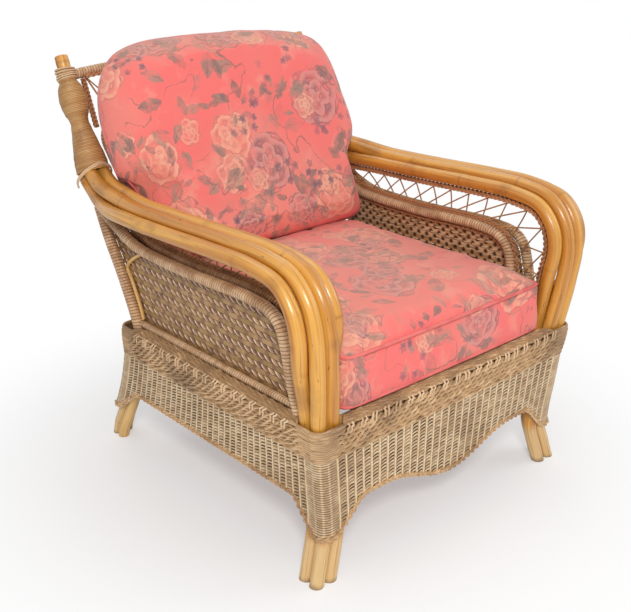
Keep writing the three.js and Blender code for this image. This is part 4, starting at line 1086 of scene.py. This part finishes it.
def sheet_faces(body, points, keep, u, v, tone, flip):
    """A grid with the faces outside an outline left out."""
    one = Body()
    one.grid(points, u, v, tone=tone, flip=flip)
    rows, cols = keep.shape
    full = keep[:-1, :-1] & keep[1:, :-1] & keep[:-1, 1:] & keep[1:, 1:]
    mask = full.reshape(-1)
    faces, uv = one.f[0][mask], one.uv[0][mask]
    used = np.unique(faces)
    new = np.zeros(rows * cols, int)
    new[used] = np.arange(len(used))
    body.v.append(one.v[0][used])
    body.tone.append(one.tone[0][used])
    body.f.append(new[faces] + body.n)
    body.uv.append(uv)
    body.n += len(used)


PANEL_STAKE = 25.0


def basket(a, z):
    """Height and tone of a woven panel: flat groups of strands over and under the stakes. The tone is
    lower under the stakes and between strands, for painted shade.
    """
    j = np.floor(z / PANEL_ROW)
    b = z / PANEL_ROW - j
    k = a / PANEL_STAKE + 0.5 * (j % 2)
    c = k - np.floor(k)
    over = 0.5 - 0.5 * np.cos(2 * np.pi * c)
    strand = np.abs(np.sin(np.pi * b * 4)) ** 0.7
    flat = over * (0.55 + 0.45 * strand) * np.sin(np.pi * np.clip(b * 1.06 - 0.03, 0, 1)) ** 0.35
    # The tone is lower where a strand passes under and between strands: painted shade
    tone = np.clip(0.15 + over * 0.9, 0, 1) * (0.45 + 0.55 * strand)
    return flat, np.clip(tone, 0, 1)


def add_sides():
    arches = Body()
    names = []
    for name, s in SIDES.items():
        for which, x, line in (("outer", OUTER_ARCH_X, OUTER_ARCH), ("inner", INNER_ARCH_X, INNER_ARCH)):
            path = on_side(s, x, even(line, step=5))
            arches.tube(place(path), ARCH_D / 2000, 20, ref=ACROSS, start=rng.uniform(0, 9))
            names.append(f"side_arch_{which}_{name}")
    finished(arches, "side_arches", WOUND, "wrapped_rattan", *names)

    outer = even(OUTER_ARCH, step=6)
    outer = outer[outer[:, 1] > SEAT_Z]
    stile = even(smooth(STILE_UPPER), step=6)
    stile = stile[(stile[:, 1] > SEAT_Z) & (stile[:, 1] < outer[-1, 1])]
    outline = np.vstack([[(outer[0, 0], RAIL_TOP)], outer, stile[::-1], [(STILE_FOOT_Y, RAIL_TOP)]])
    y = np.arange(outline[:, 0].min(), outline[:, 0].max() + 3, 2.9)
    z = np.arange(RAIL_TOP, outline[:, 1].max() + 2, PANEL_ROW / 5)
    yy, zz = np.meshgrid(y, z, indexing="ij")
    keep = in_outline(yy, zz, outline)
    backs = Body()
    for name, s in SIDES.items():
        front = Body()
        height, tone = roped_relief(yy, zz)
        points = np.stack([s * (PANEL_X + 1.2 + 2.8 * height), yy, zz], -1)
        sheet_faces(front, place(points).reshape(points.shape), keep, y / 1000, z / 1000, tone,
                    flip=s < 0)
        finished(front, f"side_panel_face_{name}", ROPED, "wicker", f"side_panel_{name}")
        height, tone = basket(yy, zz)
        points = np.stack([s * (PANEL_X - 1.2 - 2.4 * height), yy, zz], -1)
        sheet_faces(backs, place(points).reshape(points.shape), keep, y / 1000, z / 1000, tone,
                    flip=s > 0)
    finished(backs, "side_panel_backs", INSIDE, "wicker")

    bits = Body()
    for name, s in SIDES.items():
        # Pale strands show in short dashes on the flat rows of the inner face
        for j in range(1, 14):
            for i in range(24):
                py = -300 + i * 25 + (12.5 if j % 2 else 0) + rng.uniform(-1.5, 1.5)
                pz = PAD_Z + j * PANEL_ROW * 1.3
                ends = np.array([py, py + 12]), np.array([pz + 8, pz + 8])
                if rng.uniform() < 0.75 and in_outline(*ends, outline).all():
                    part = np.linspace(0, 1, 6)
                    bump = np.sin(np.pi * part)
                    line = np.stack([s * (PANEL_X - 3.4 - 2.2 * bump), py + 11 * part, pz + 0 * part], -1)
                    bits.tube(place(line), 0.0019, 6, squash=0.6, start=rng.uniform(0, 9))
    finished(bits, "side_panel_uprights", PALE, "wicker")

    trims = Body()
    for name, s in SIDES.items():
        line = BUNDLES[name](3, -(POLE_D / 2 + GAP + 6.5))
        line = line[np.argmax(line[:, 2] > SEAT_Z + 2):]
        line = clipped(line, LEAN_UP, lean(0, up_back(POST_WRAP_Z - 24)), keep=-1)
        line = place(even(line, step=2.5))
        plait(trims, line, ACROSS, 0.0042, 0.0030, 0.046, 0.0027, strands=4)
    finished(trims, "arm_braids", BRAID, "wicker", "arm_braid_left", "arm_braid_right")

    canes = Body()
    braids = Body()
    for name, s in SIDES.items():
        low = flat_offset(even(INNER_ARCH, step=4), ARCH_D / 2 + 0.6)
        low = low[(low[:, 1] > SEAT_Z) & (low[:, 0] < 248)]
        high = BUNDLES[name](3, -(POLE_D / 2 + 0.8 + 12 + 1))[:, 1:]
        high = high[(high[:, 1] > SEAT_Z) & (high[:, 0] < 278)]
        high = high[np.argmax(high[:, 1] > SEAT_Z):]
        cells = 16
        low_even, high_even = even(low, count=cells), even(high, count=cells)
        for i in range(cells):
            crossed = ((low_even[i], high_even[i + 1], 1.3), (low_even[i + 1], high_even[i], -1.3))
            for a, b, lift in crossed:
                ends = lerp(a, b, -0.03), lerp(a, b, 1.03)
                part = np.linspace(0, 1, 9)[:, None]
                flat = ends[0] * (1 - part) + ends[1] * part
                bow = (4 * part * (1 - part))[:, 0]
                bent = flat[:, 0] + rng.uniform(-2, 2) * bow
                points = np.stack([s * 306.5 + lift * bow, bent, flat[:, 1]], -1)
                canes.tube(place(points), 0.0016, 8, start=rng.uniform(0, 9))
        path = on_side(s, 304.5, flat_offset(even(low, step=2.5), 3.6))
        plait(braids, place(path), TILTED, 0.003, 0.0025, 0.036, 0.0023)
        # A braid lies on the panel's inner face, under the arch
        inside = flat_offset(even(INNER_ARCH, step=3), -(ARCH_D / 2 + 5))
        inside = inside[(inside[:, 1] > SEAT_Z + 2) & (inside[:, 0] < 236)]
        path = on_side(s, PANEL_X - 8, inside)
        plait(braids, place(path), TILTED, 0.0038, 0.0022, 0.04, 0.0024)
    finished(canes, "side_canes", CANE, "dark_cane", "side_lattice_left", "side_lattice_right")
    finished(braids, "arch_braids", BRAID, "wicker")

    strips = Body()
    edging = Body()
    for name, s in SIDES.items():
        x = PANEL_X + PANEL_HALF_T + GAP + STRIP_R
        z0 = SEAT_Z + GAP + STRIP_R
        line = np.array([(s * x, ARCH_FOOT_Y + ARCH_D / 2, z0), (s * x, STILE_FOOT_Y - 6, z0)])
        strips.tube(place(even(line, step=8)), STRIP_R / 1000, 16, start=rng.uniform(0, 9))
        off = EDGING_R + GAP
        under = flat_offset(even(OUTER_ARCH, step=6), -(ARCH_D / 2 + off))
        foot = z0 + STRIP_R + 2 * GAP
        start = under[np.argmax(under[:, 1] > SEAT_Z), 0]
        under = under[(under[:, 1] > foot + 8) & (under[:, 0] < STILE_FOOT_Y - 8)]
        before = flat_offset(even(smooth(STILE_UPPER), step=6), BACK_POLE_D / 2 + off)
        before = before[(before[:, 1] > foot + 8) & (before[:, 1] < ARCH_Z - ARCH_D - 30)]
        run = np.vstack([[(start, foot)], under[::3], before[::-4], [(before[0, 0] - 3, foot)]])
        path = on_side(s, PANEL_X + PANEL_HALF_T + off, even(smooth(run, 8), step=5))
        edging.tube(place(path), EDGING_R / 1000, 12, start=rng.uniform(0, 9))
    finished(strips, "panel_strips", WOUND, "wrapped_rattan", "panel_strip_left", "panel_strip_right")
    finished(edging, "panel_edgings", BARE, "bare_rattan", "panel_edging_left", "panel_edging_right")


# Back
def add_back():
    rail_end = POST_X - 18.9
    rail_low = up_back(TOP_RAIL_Z)
    x = np.linspace(-rail_end, rail_end, 120)
    rail = np.stack([x, rail_low + TOP_RAIL_RISE * (1 - (x / rail_end) ** 2)], -1)
    to_plane = lambda line, n=0.0: place(lean(line[:, 0], line[:, 1], n))
    rails = Body()
    rails.tube(to_plane(rail), TOP_RAIL_D / 2000, 20)
    finished(rails, "top_rail", WOUND, "wrapped_rattan", "back_top_rail")

    foot = GAP / math.cos(LEAN) + (FRAME_D / 2) * math.tan(LEAN)
    shoulder, top = up_back(FRAME_SHOULDER_Z), up_back(FRAME_TOP_Z)
    half = [
        (FRAME_LOW_X, foot), (FRAME_LOW_X, shoulder * 0.55), (FRAME_LOW_X + 2, shoulder),
        (lerp(FRAME_LOW_X, FRAME_X, 0.72), lerp(shoulder, top, 0.45)), (FRAME_X, top - FRAME_CORNER),
        (FRAME_X - FRAME_CORNER * 0.3, top - FRAME_CORNER * 0.3), (FRAME_X - FRAME_CORNER, top),
        (FRAME_X - 2 * FRAME_CORNER, top),
    ]
    line = even(smooth([*half, (0, top), *[(-a, b) for a, b in half[::-1]]]), step=5)
    back = Body()
    back.tube(to_plane(line), FRAME_D / 2000, 18)
    finished(back, "back_hoop", WOUND, "wrapped_rattan", "back_frame")

    # Braids: down each post to the woven panel, under the rail, and along the panel's frame
    braids = Body()
    hang = rail_low - TOP_RAIL_D / 2
    for s in SIDES.values():
        x = s * (POST_X - 29 - 0.4 - 6.5)
        path = np.stack([np.full(60, x), np.linspace(top - 4, hang, 60)], -1)
        plait(braids, to_plane(path), ACROSS, 0.004, 0.003, 0.036, 0.0024, strands=4)
    finished(braids, "post_braids", BRAID, "wicker", "post_braid_left", "post_braid_right")
    trims = Body()
    edge = to_plane(even(line, step=3), FRAME_D / 2 + 1.5)
    plait(trims, edge, np.array([1.0, 0.2, 0]), 0.0042, 0.0018, 0.04, 0.0024)
    under = np.stack([rail[:, 0] * 0.93, rail[:, 1] - TOP_RAIL_D / 2 + 2.5], -1)
    plait(trims, to_plane(even(under, step=3), 7.5), TILTED, 0.003, 0.0024, 0.04, 0.0022)
    finished(trims, "back_braids", BRAID, "wicker")

    u = np.arange(-FRAME_X, FRAME_X, 3.1)
    v = np.arange(foot, top, 2.2)
    uu, vv = np.meshgrid(u, v, indexing="ij")
    keep = in_outline(uu, vv, line)
    panel = Body()
    for face in (1, -1):
        height, tone = basket(uu, vv)
        points = lean(uu, vv, face * (1.4 + 2.4 * height))
        sheet_faces(panel, place(points).reshape(points.shape), keep, u / 1000, v / 1000, tone,
                    flip=face < 0)
    finished(panel, "back_weave", INSIDE, "wicker", "back_panel")

    cells = 11
    spread = np.linspace(-1, 1, cells + 1)
    low = np.stack([spread * (FRAME_X - FRAME_CORNER), np.full(cells + 1, top + FRAME_D / 2)], -1)
    hx = spread * (POST_X - 43)
    high = np.stack([hx, rail_low + TOP_RAIL_RISE * (1 - (hx / rail_end) ** 2) - TOP_RAIL_D / 2], -1)
    canes = Body()
    for i in range(cells):
        for a, b, lift in ((low[i], high[i + 1], 1.3), (low[i + 1], high[i], -1.3)):
            part = np.linspace(-0.02, 1.02, 9)[:, None]
            flat = lerp(a, b, part)
            bow = (4 * np.clip(part * (1 - part), 0, 1))[:, 0]
            canes.tube(to_plane(flat, lift * bow), 0.0016, 8, start=rng.uniform(0, 9))
    for i in (0, cells):
        flat = lerp(low[i], high[i], np.linspace(0, 1, 9)[:, None])
        canes.tube(to_plane(flat), 0.002, 10)
    finished(canes, "back_canes", CANE, "dark_cane", "back_lattice")


# Cushions
def shell(name, rings):
    """A closed body from rings, as one mesh."""
    rings = np.array(rings)
    count = rings.shape[1]
    v = rings.reshape(-1, 3).tolist() + [rings[0].mean(0).tolist(), rings[-1].mean(0).tolist()]
    f = []
    for i in range(len(rings) - 1):
        for j in range(count):
            k = (j + 1) % count
            f.append((i * count + j, i * count + k, (i + 1) * count + k, (i + 1) * count + j))
    low, high = len(v) - 2, len(v) - 1
    last = (len(rings) - 1) * count
    for j in range(count):
        k = (j + 1) % count
        f.append((low, k, j))
        f.append((high, last + j, last + k))
    mesh = bpy.data.meshes.new(name)
    mesh.from_pydata(v, [], f)
    return linked(name, mesh)


def outline_of(corners, segments):
    out = []
    for i, (x, y, radius) in enumerate(corners):
        here = np.array([x, y], float)
        before = np.array(corners[i - 1][:2], float)
        after = np.array(corners[(i + 1) % len(corners)][:2], float)
        a, b = here + unit(before - here) * radius, here + unit(after - here) * radius
        for t in np.linspace(0, 1, segments + 1):
            out.append((1 - t) ** 2 * a + 2 * t * (1 - t) * here + t * t * b)
    return np.array(out)


def drawn_in(outline, centre, inset, lower=1.0):
    half = (outline.max(0) - outline.min(0)) / 2
    away = outline - centre
    share = np.where(away[:, 1] < 0, lower, 1.0)
    return np.stack([centre[0] + away[:, 0] * (1 - inset / half[0]),
                     centre[1] + away[:, 1] * (1 - inset * share / half[1])], -1)


def apply_all(obj):
    bpy.context.view_layer.update()
    depsgraph = bpy.context.evaluated_depsgraph_get()
    mesh = bpy.data.meshes.new_from_object(obj.evaluated_get(depsgraph))
    obj.modifiers.clear()
    obj.data = mesh


def add_seat_pad(piping):
    middle = np.array([0, (PAD_FRONT_Y + PAD_BACK_Y) / 2])
    slim = 3
    side, near, far = PAD_HALF_X - slim, PAD_FRONT_Y + slim, PAD_BACK_Y - slim
    outline = outline_of([(-side, near, PAD_CORNER), (side, near, PAD_CORNER),
                          (side, far, PAD_CORNER), (-side, far, PAD_CORNER)], 8)
    level = lambda rise, inset: place(np.c_[drawn_in(outline, middle, inset),
                                            np.full(len(outline), PAD_Z + rise)])
    layers = [(0, 60), (0, 14), (2, 6), (8, 2), (30, 0), (88, 0), (98, 3), (104, 10), (110, 50),
              (PAD_H, 120), (PAD_H + 5, 200)]
    seat = shell("seat_pad", [level(*layer) for layer in layers])
    start, final = puffed(seat, 0.0066, 4.0, 0.024)
    final = held(start, final, UP, 0.5)
    # Its weight keeps the lower edge out and down on the border
    free = smoothstep(start[:, 2], (PAD_Z + 5) / 1000, (PAD_Z + 70) / 1000)
    final = start + (final - start) * free[:, None]
    floor_z = (PAD_Z + 0.4) / 1000
    limit = lambda co: clamp_box(co, (-0.2868, (PAD_FRONT_Y + SHIFT) / 1000 + 0.0005, floor_z),
                                 (0.2868, (PAD_BACK_Y + SHIFT) / 1000 - 0.0005, 1.0))
    set_coordinates(seat.data, limit(final))
    finer(seat)
    co = limit(coordinates(seat.data))
    # Years of sitting: a hollow right of the middle, and small unevenness
    x, y = co[:, 0], co[:, 1] - SHIFT / 1000
    top = smoothstep(co[:, 2], (PAD_Z + 70) / 1000, (PAD_Z + 108) / 1000)
    sag = 0.006 * np.exp(-(((x - 0.05) / 0.16) ** 2 + ((y + 0.12) / 0.14) ** 2))
    sag = sag + 0.0018 * np.sin(x * 31 + 2 * np.sin(y * 17)) * np.cos(y * 26 + 1.3)
    co[:, 2] -= top * sag
    set_coordinates(seat.data, co)
    down = (PAD_Z + PAD_H) / 1000 - co[:, 2]
    centre = np.array([0, middle[1] + SHIFT]) / 1000
    half = PAD_HALF_X / 1000, (PAD_BACK_Y - PAD_FRONT_Y) / 2000
    printed(seat, unrolled(np.c_[co[:, 0], co[:, 1]], centre, half, down))
    finished(seat, "seat_pad", CLOTH, "cushion_fabric", "seat_cushion")

    for rise, inset in ((99, 2.0), (4, 3.0)):
        seam(piping, start, final, level(rise, inset), 0.0036, co)
    return seat


def add_back_pad(seat, piping):
    depth, back = BACK_PAD_T, FRAME_D / 2 + 3
    seat_top = PAD_Z + PAD_H + 16 - 10.6
    low = (seat_top - SEAT_Z - (back + depth / 2) * math.sin(LEAN)) / math.cos(LEAN)
    right = [(0, low - 4), (200, low - 5), (264, low - 2), (281, low + 6), (284, low + 30), (284, 236),
             (292, 256), (312, 280), (325, 308), (327, 340), (322, 390), (315, 448), (302, 500),
             (280, 536), (225, 560), (83, 577), (0, 579)]
    left = [(-81, 579), (-197, 571), (-265, 548), (-303, 500), (-320, 446), (-324, 400), (-324, 340),
            (-318, 300), (-292, 262), (-284, 240), (-284, low + 30), (-281, low + 6), (-264, low - 2),
            (-200, low - 5)]
    outline = even(smooth([*right, *left, right[0]], 8), count=110)[:-1]
    centre = np.array([0, (low + 570) / 2])
    rings = []
    slim = 10
    for degrees in (-90, -72, -54, -36, -18, 0, 18, 36, 54, 72, 90):
        turn = math.radians(degrees)
        flat = drawn_in(outline, centre, 84 * (1 - math.cos(turn)), 0.35)
        n = back + depth / 2 + (depth / 2 - slim) * math.sin(turn)
        rings.append(place(lean(flat[:, 0], flat[:, 1], n)))
    pad = shell("back_pad", rings)
    start, final = puffed(pad, 0.0066, 4.0, 0.026)
    set_coordinates(pad.data, held(start, final, LEAN_OUT, 0.15))
    finer(pad)
    co = coordinates(pad.data)
    # The pad keeps off the woven back and the arms, and stands on the seat cushion
    foot = np.array([0, SHIFT + BACK_SEAT_Y, SEAT_Z]) / 1000
    n = (co - foot) @ LEAN_OUT
    co += np.maximum(back / 1000 - n, 0)[:, None] * LEAN_OUT
    co -= np.maximum(n - (back + depth) / 1000, 0)[:, None] * LEAN_OUT
    between_arms = 1 - smoothstep(co[:, 2], 0.612, 0.65)
    reach = lerp(0.3265, 0.2855, between_arms)
    co[:, 0] = np.clip(co[:, 0], -np.minimum(reach, 0.3255), reach)
    tree = BVHTree.FromObject(seat, bpy.context.evaluated_depsgraph_get())
    for i in np.nonzero(co[:, 2] < 0.475)[0]:
        hit = tree.ray_cast((co[i, 0], co[i, 1], 0.8), (0, 0, -1))[0]
        if hit is not None:
            co[i, 2] = max(co[i, 2], hit[2] + 0.0008)
        else:
            co[i, 2] = max(co[i, 2], 0.4395)
    set_coordinates(pad.data, co)
    flat = np.c_[co[:, 0], (co - foot) @ LEAN_UP]
    deep = np.maximum((back + depth) / 1000 - (co - foot) @ LEAN_OUT, 0)
    pattern = unrolled(flat, np.array([0.0, centre[1] / 1000]), (0.32, 0.235), deep)
    printed(pad, pattern + np.array([0.9, 1.7]))
    finished(pad, "back_pad", CLOTH, "cushion_fabric", "back_cushion")
    path = place(lean(outline[:, 0], outline[:, 1], back + depth / 2))
    cord_round(piping, nearest(co, path, co), 0.0022, 3)


def add_cushions():
    piping = Body()
    add_back_pad(add_seat_pad(piping), piping)
    finished(piping, "cushion_piping", PIPING, "cushion_fabric")


def skirt_uv(body, outer, us):
    """The skirt's v is the true height, also where the hem climbs."""
    rows = outer.shape[1]
    z = outer[:, :, 2] / 1000
    i, j = np.meshgrid(np.arange(len(us) - 1), np.arange(rows - 1), indexing="ij")
    corner = np.stack([
        np.stack([us[i], z[i, j]], -1), np.stack([us[i], z[i, j + 1]], -1),
        np.stack([us[i + 1], z[i + 1, j + 1]], -1), np.stack([us[i + 1], z[i + 1, j]], -1),
    ], -2).reshape(-1, 4, 2)
    body.uv[-1] = corner


def ring_line(ring, z, offset):
    """A closed line round the skirt, with its own height and offset at each column."""
    line = np.array([c.at(zz, oo) for c, zz, oo in zip(ring, z, offset)])
    return place(np.vstack([line, line[:1]]))


def add_border():
    """Rolled border: twisted strands that run round it, smooth over the legs, and pale stitches."""
    ring = columns({"front": 150, "side": 140, "back": 140}, 10)
    path = np.array([c.at(294.0, 0) for c in ring])
    run = lengths(path)
    total = run[-1] + np.linalg.norm(path[0] - path[-1])
    away = np.array([c.away for c in ring])
    on_leg = np.where(away > 0, 1 - smoothstep(away, 14, 44), 1.0)
    over = smoothstep(away, 38, 62)
    outer, upper = Body(), Body()
    levels = [(265, 2.4, 3.4), (274, 3.2, 4.6), (283, 3.8, 5.4), (292.5, 4.4, 6.0), (302, 4.6, 6.4),
              (311.5, 4.2, 6.0)]
    for k, (z0, swing, reach) in enumerate(levels):
        turns = round(total / (58 if k < 2 else 34))
        for strand in (0, 1):
            wave = 2 * np.pi * (run / total * turns + strand / 2 + 0.17 * k)
            # Over a leg the two strands of a row lie one above the other
            z = z0 + lerp(swing * np.sin(wave), 2.3 * (1 if strand else -1), on_leg)
            offset = reach + lerp(2.6 * np.cos(wave), -0.2, on_leg)
            outer.tube(ring_line(ring, z, offset), 0.0029, 8, ref=UP, caps=False,
                       start=k * 1.7 + strand * 0.6)
    rim = [(2.4, 322.2), (-3.0, 325.0), (-8.6, 325.8), (-14.4, 325.8), (-18.5, 325.0)]
    for k, (reach, z0) in enumerate(rim):
        turns = round(total / 46)
        for strand in (0, 1):
            wave = 2 * np.pi * (run / total * turns + strand / 2 + 0.3 * k)
            offset = np.where(over > 0.02, np.maximum(reach + 2.2 * np.sin(wave), -20 * over),
                              3.0 + 1.2 * strand)
            z = z0 + np.where(over > 0.02, 1.3 * np.cos(wave), -1.5 * k - 2 * strand)
            line = ring_line(ring, z, offset)
            upper.tube(line, 0.0026, 8, ref=UP, caps=False, start=k * 2.3 + 5 + strand,
                       tone=np.full(len(line), 0.5 if (strand + k) % 2 else 1.0))
    finished(outer, "border_strands", BORDER, "wicker")
    finished(upper, "border_top_strands", BORDER, "wicker")
    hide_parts("skirt_border")

    # A sheet behind and between the strands, at tone 0.2, so nearly all of it takes the woven material's
    # darkest colour: painted shade
    core = Body()
    shape = ((1.0, 263.5), (3.0, 266), (3.6, 294), (3.0, 318), (0.5, 321.5))
    lines = [np.array([c.at(z, o) for c in ring]) for o, z in shape]
    lines.append(np.array([c.at(321.5, -18 * w) for c, w in zip(ring, over)]))
    lines.append(np.array([c.at(263.5, -4 * w) for c, w in zip(ring, over)]))
    grid = np.stack(lines + [lines[0]], 1)
    grid = np.concatenate([grid, grid[:1]])
    core.grid(place(grid).reshape(grid.shape), np.append(run, total) / 1000,
              np.linspace(0, 0.12, grid.shape[1]), tone=np.full(grid.shape[:2], 0.2), flip=True)
    finished(core, "border_shade_core", PLAIT, "wicker")

    stitches = Body()
    at = 8.0
    while at < total - 12:
        i = int(np.searchsorted(run, at))
        if i < len(ring) and ring[i].away > 30:
            height = np.interp(np.arange(9), [0, 2, 6, 8], [304, 307, 320, 324])
            reach = np.interp(np.arange(9), [0, 2, 6, 8], [5, 9.6, 9.2, 4.5])
            shift = np.linspace(-1.2, 1.2, 9) * rng.uniform(0.3, 1.2)
            j = np.clip((i + np.round(shift)).astype(int), 0, len(ring) - 1)
            for lean_by in (-1, 1):
                q = np.clip(j + lean_by, 0, len(ring) - 1)
                line = np.array([ring[w].at(zz, oo) for w, zz, oo in zip(q, height, reach)])
                stitches.tube(place(line), 0.0026, 8, squash=0.7, start=rng.uniform(0, 9))
        at += 31 * rng.uniform(0.85, 1.15)
    finished(stitches, "border_stitches", PALE, "wicker")


def roped_relief(a, z):
    """Height and tone of the side panel's outer face: twisted rows between flat rows."""
    row = z / PANEL_ROW
    j = np.floor(row)
    b = row - j
    rope = (j % 2) == 0
    shift = ((j * 0.5) % 2) * 0.5
    twist = (a / 20 + shift - (b - 0.5) * 0.7) % 1
    lump = 0.5 + 0.5 * np.cos(2 * np.pi * (twist - 0.5))
    barrel = np.sin(np.pi * b) ** 0.6
    roped_row = (0.1 + 1.1 * lump) * barrel
    strand = np.abs(np.sin(np.pi * b * 3)) ** 0.6
    under = 0.5 + 0.5 * np.cos(2 * np.pi * (a / 40 + shift))
    flat = (0.2 + 0.3 * strand) * (1 - 0.7 * under)
    return np.where(rope, roped_row, flat), np.ones(a.shape)


def coordinates(mesh):
    co = np.empty(len(mesh.vertices) * 3)
    mesh.vertices.foreach_get("co", co)
    return co.reshape(-1, 3)


def puffed(obj, voxel, pressure, cap):
    """The cushion swells like a filled cover; no point moves further than the cap."""
    remesh = obj.modifiers.new("remesh", "REMESH")
    remesh.mode = "VOXEL"
    remesh.voxel_size = voxel
    apply_all(obj)
    start = coordinates(obj.data)
    final = start
    scene = bpy.context.scene
    cloth_ = obj.modifiers.new("cloth", "CLOTH")
    settings = cloth_.settings
    settings.quality = 4
    settings.mass = 0.3
    settings.use_pressure = True
    settings.uniform_pressure_force = pressure
    settings.effector_weights.gravity = 0
    cloth_.collision_settings.use_collision = False
    cloth_.point_cache.frame_start, cloth_.point_cache.frame_end = 1, 20
    for frame_number in range(1, 21):
        scene.frame_set(frame_number)
    evaluated = obj.evaluated_get(bpy.context.evaluated_depsgraph_get())
    final = coordinates(evaluated.data).copy()
    obj.modifiers.clear()
    scene.frame_set(1)
    moved = final - start
    far = np.linalg.norm(moved, axis=1, keepdims=True)
    final = start + moved * np.minimum(1, cap / np.maximum(far, 1e-9))
    return start, final


def set_coordinates(mesh, co):
    mesh.vertices.foreach_set("co", np.ascontiguousarray(co).reshape(-1))
    mesh.update()


def finer(obj):
    """One subdivision, applied, and smooth faces."""
    sub = obj.modifiers.new("finer", "SUBSURF")
    sub.levels = sub.render_levels = 1
    apply_all(obj)
    obj.data.polygons.foreach_set("use_smooth", np.ones(len(obj.data.polygons), bool))
    obj.data.materials.clear()
    obj.data.materials.append(CLOTH)


def printed(obj, flat):
    layer = obj.data.attributes.new("print", "FLOAT_VECTOR", "POINT")
    layer.data.foreach_set("vector", np.c_[flat, np.zeros(len(flat))].reshape(-1))


def nearest(cloud, points, values):
    """The mean value of the nearest few cloud points."""
    out = []
    for p in points:
        d = ((cloud - p) ** 2).sum(1)
        k = np.argpartition(d, 5)[:5]
        out.append(values[k].mean(0))
    return np.array(out)


def cord_round(body, line, radius, passes):
    """Piping along a closed line, smoothed by a number of passes."""
    for _ in range(passes):
        line = (np.roll(line, 1, 0) + 2 * line + np.roll(line, -1, 0)) / 4
    line = np.vstack([line, line[:1]])
    body.tube(even(line, step=0.004), radius, 8, caps=False)


def seam(body, start, final, path, radius, surface):
    """Piping sewn on the swollen cover, where a line of the unfilled cover has gone."""
    line = path + nearest(start, path, final - start)
    line = nearest(surface, line, surface)
    middle = line.mean(0)
    outward = (line - middle) * np.array([1, 1, 0])
    line = line + unit(outward) * 0.0026
    cord_round(body, line, radius, 4)


def clamp_box(co, low, high):
    return np.clip(co, np.array(low), np.array(high))


def unrolled(flat, centre, half, depth):
    """Lays a cushion's sides out flat round its face, so that the print runs on over the edge."""
    away = (flat - centre) / np.array(half)
    weight = np.abs(away) ** 5 * np.sign(away)
    return flat + unit(weight) * np.clip(depth, 0, None)[:, None] * 0.9


def held(start, final, outward, along_face):
    """The filling holds the cover's outline out: along its face a point moves less than across it."""
    moved = final - start
    through = (moved @ outward)[:, None] * outward
    return start + (moved - through) * along_face + through


# Stage
def add_stage():
    mesh = bpy.data.meshes.new("floor")
    mesh.from_pydata([(-30, -30, 0), (30, -30, 0), (30, 30, 0), (-30, 30, 0)], [], [(0, 1, 2, 3)])
    floor = linked("floor", mesh)
    m = Nodes("floor_white", Roughness=0.9)
    m.put(m.shader.inputs["Base Color"], (0.95, 0.95, 0.95))
    # Away from the chair the floor is as white as the studio behind it
    away = m.length(m.where())
    seen = m.node("LightPath", out=0)
    white = m.node("Emission", Color=(1, 1, 1), Strength=1.0)
    mixed = m.tree.nodes.new("ShaderNodeMixShader")
    m.put(mixed.inputs[0], m.ramp(away, 0.4, 1.0, 0.35, 1.0) * seen)
    m.tree.links.new(m.shader.outputs[0], mixed.inputs[1])
    m.put(mixed.inputs[2], white)
    m.tree.links.new(mixed.outputs[0], m.tree.nodes["Material Output"].inputs[0])
    mesh.materials.append(m.material)

    world = bpy.data.worlds.new("studio")
    bpy.context.scene.world = world
    world.use_nodes = True
    tree = world.node_tree
    path = tree.nodes.new("ShaderNodeLightPath")
    total = path.outputs["Is Camera Ray"]
    for name in ("Is Glossy Ray", "Is Transmission Ray"):
        seen = tree.nodes.new("ShaderNodeMath")
        seen.operation = "MAXIMUM"
        tree.links.new(total, seen.inputs[0])
        tree.links.new(path.outputs[name], seen.inputs[1])
        total = seen.outputs[0]
    mixed = tree.nodes.new("ShaderNodeMix")
    mixed.data_type = "RGBA"
    tree.links.new(total, mixed.inputs["Factor"])
    mixed.inputs["A"].default_value = (0.5, 0.51, 0.53, 1)
    mixed.inputs["B"].default_value = (1, 1, 1, 1)
    tree.links.new(mixed.outputs["Result"], tree.nodes["Background"].inputs["Color"])

    def lamp(name, at, aim, size, power, color=(1, 1, 1)):
        light = bpy.data.lights.new(name, "AREA")
        light.shape = "DISK"
        light.size = size
        light.energy = power
        light.color = color
        obj = linked(name, light)
        obj.location = at
        obj.rotation_euler = aim_euler(np.array(aim, float) - np.array(at, float))

    lamp("key", (-1.7, -2.1, 2.1), (0, 0, 0.45), 0.5, 46, (1, 0.97, 0.93))
    lamp("fill", (2.4, -1.6, 1.9), (0, 0, 0.4), 1.8, 16)
    lamp("top", (0.2, 0.8, 3.0), (0, 0, 0.4), 2.2, 12)

    camera = bpy.data.cameras.new("camera")
    camera.lens = 952 / 631 * 36
    camera.sensor_width = 36
    obj = linked("camera", camera)
    obj.location = (-1.28, -1.44 + SHIFT / 1000, 1.12)
    yaw, pitch, roll = math.radians(41.2), math.radians(21.9), math.radians(-0.4)
    look = np.array([math.sin(yaw) * math.cos(pitch), math.cos(yaw) * math.cos(pitch), -math.sin(pitch)])
    obj.rotation_euler = aim_euler(look, roll)
    bpy.context.scene.camera = obj


def aim_euler(direction, roll=0.0):
    q = Vector(direction).to_track_quat("-Z", "Y")
    return (q @ Quaternion((0, 0, 1), roll)).to_euler()


add_arms()
add_posts()
add_seat_frame()
add_skirt()
add_sides()
add_back()
add_cushions()
add_stage()

scene = bpy.context.scene
scene.view_settings.view_transform = "Standard"
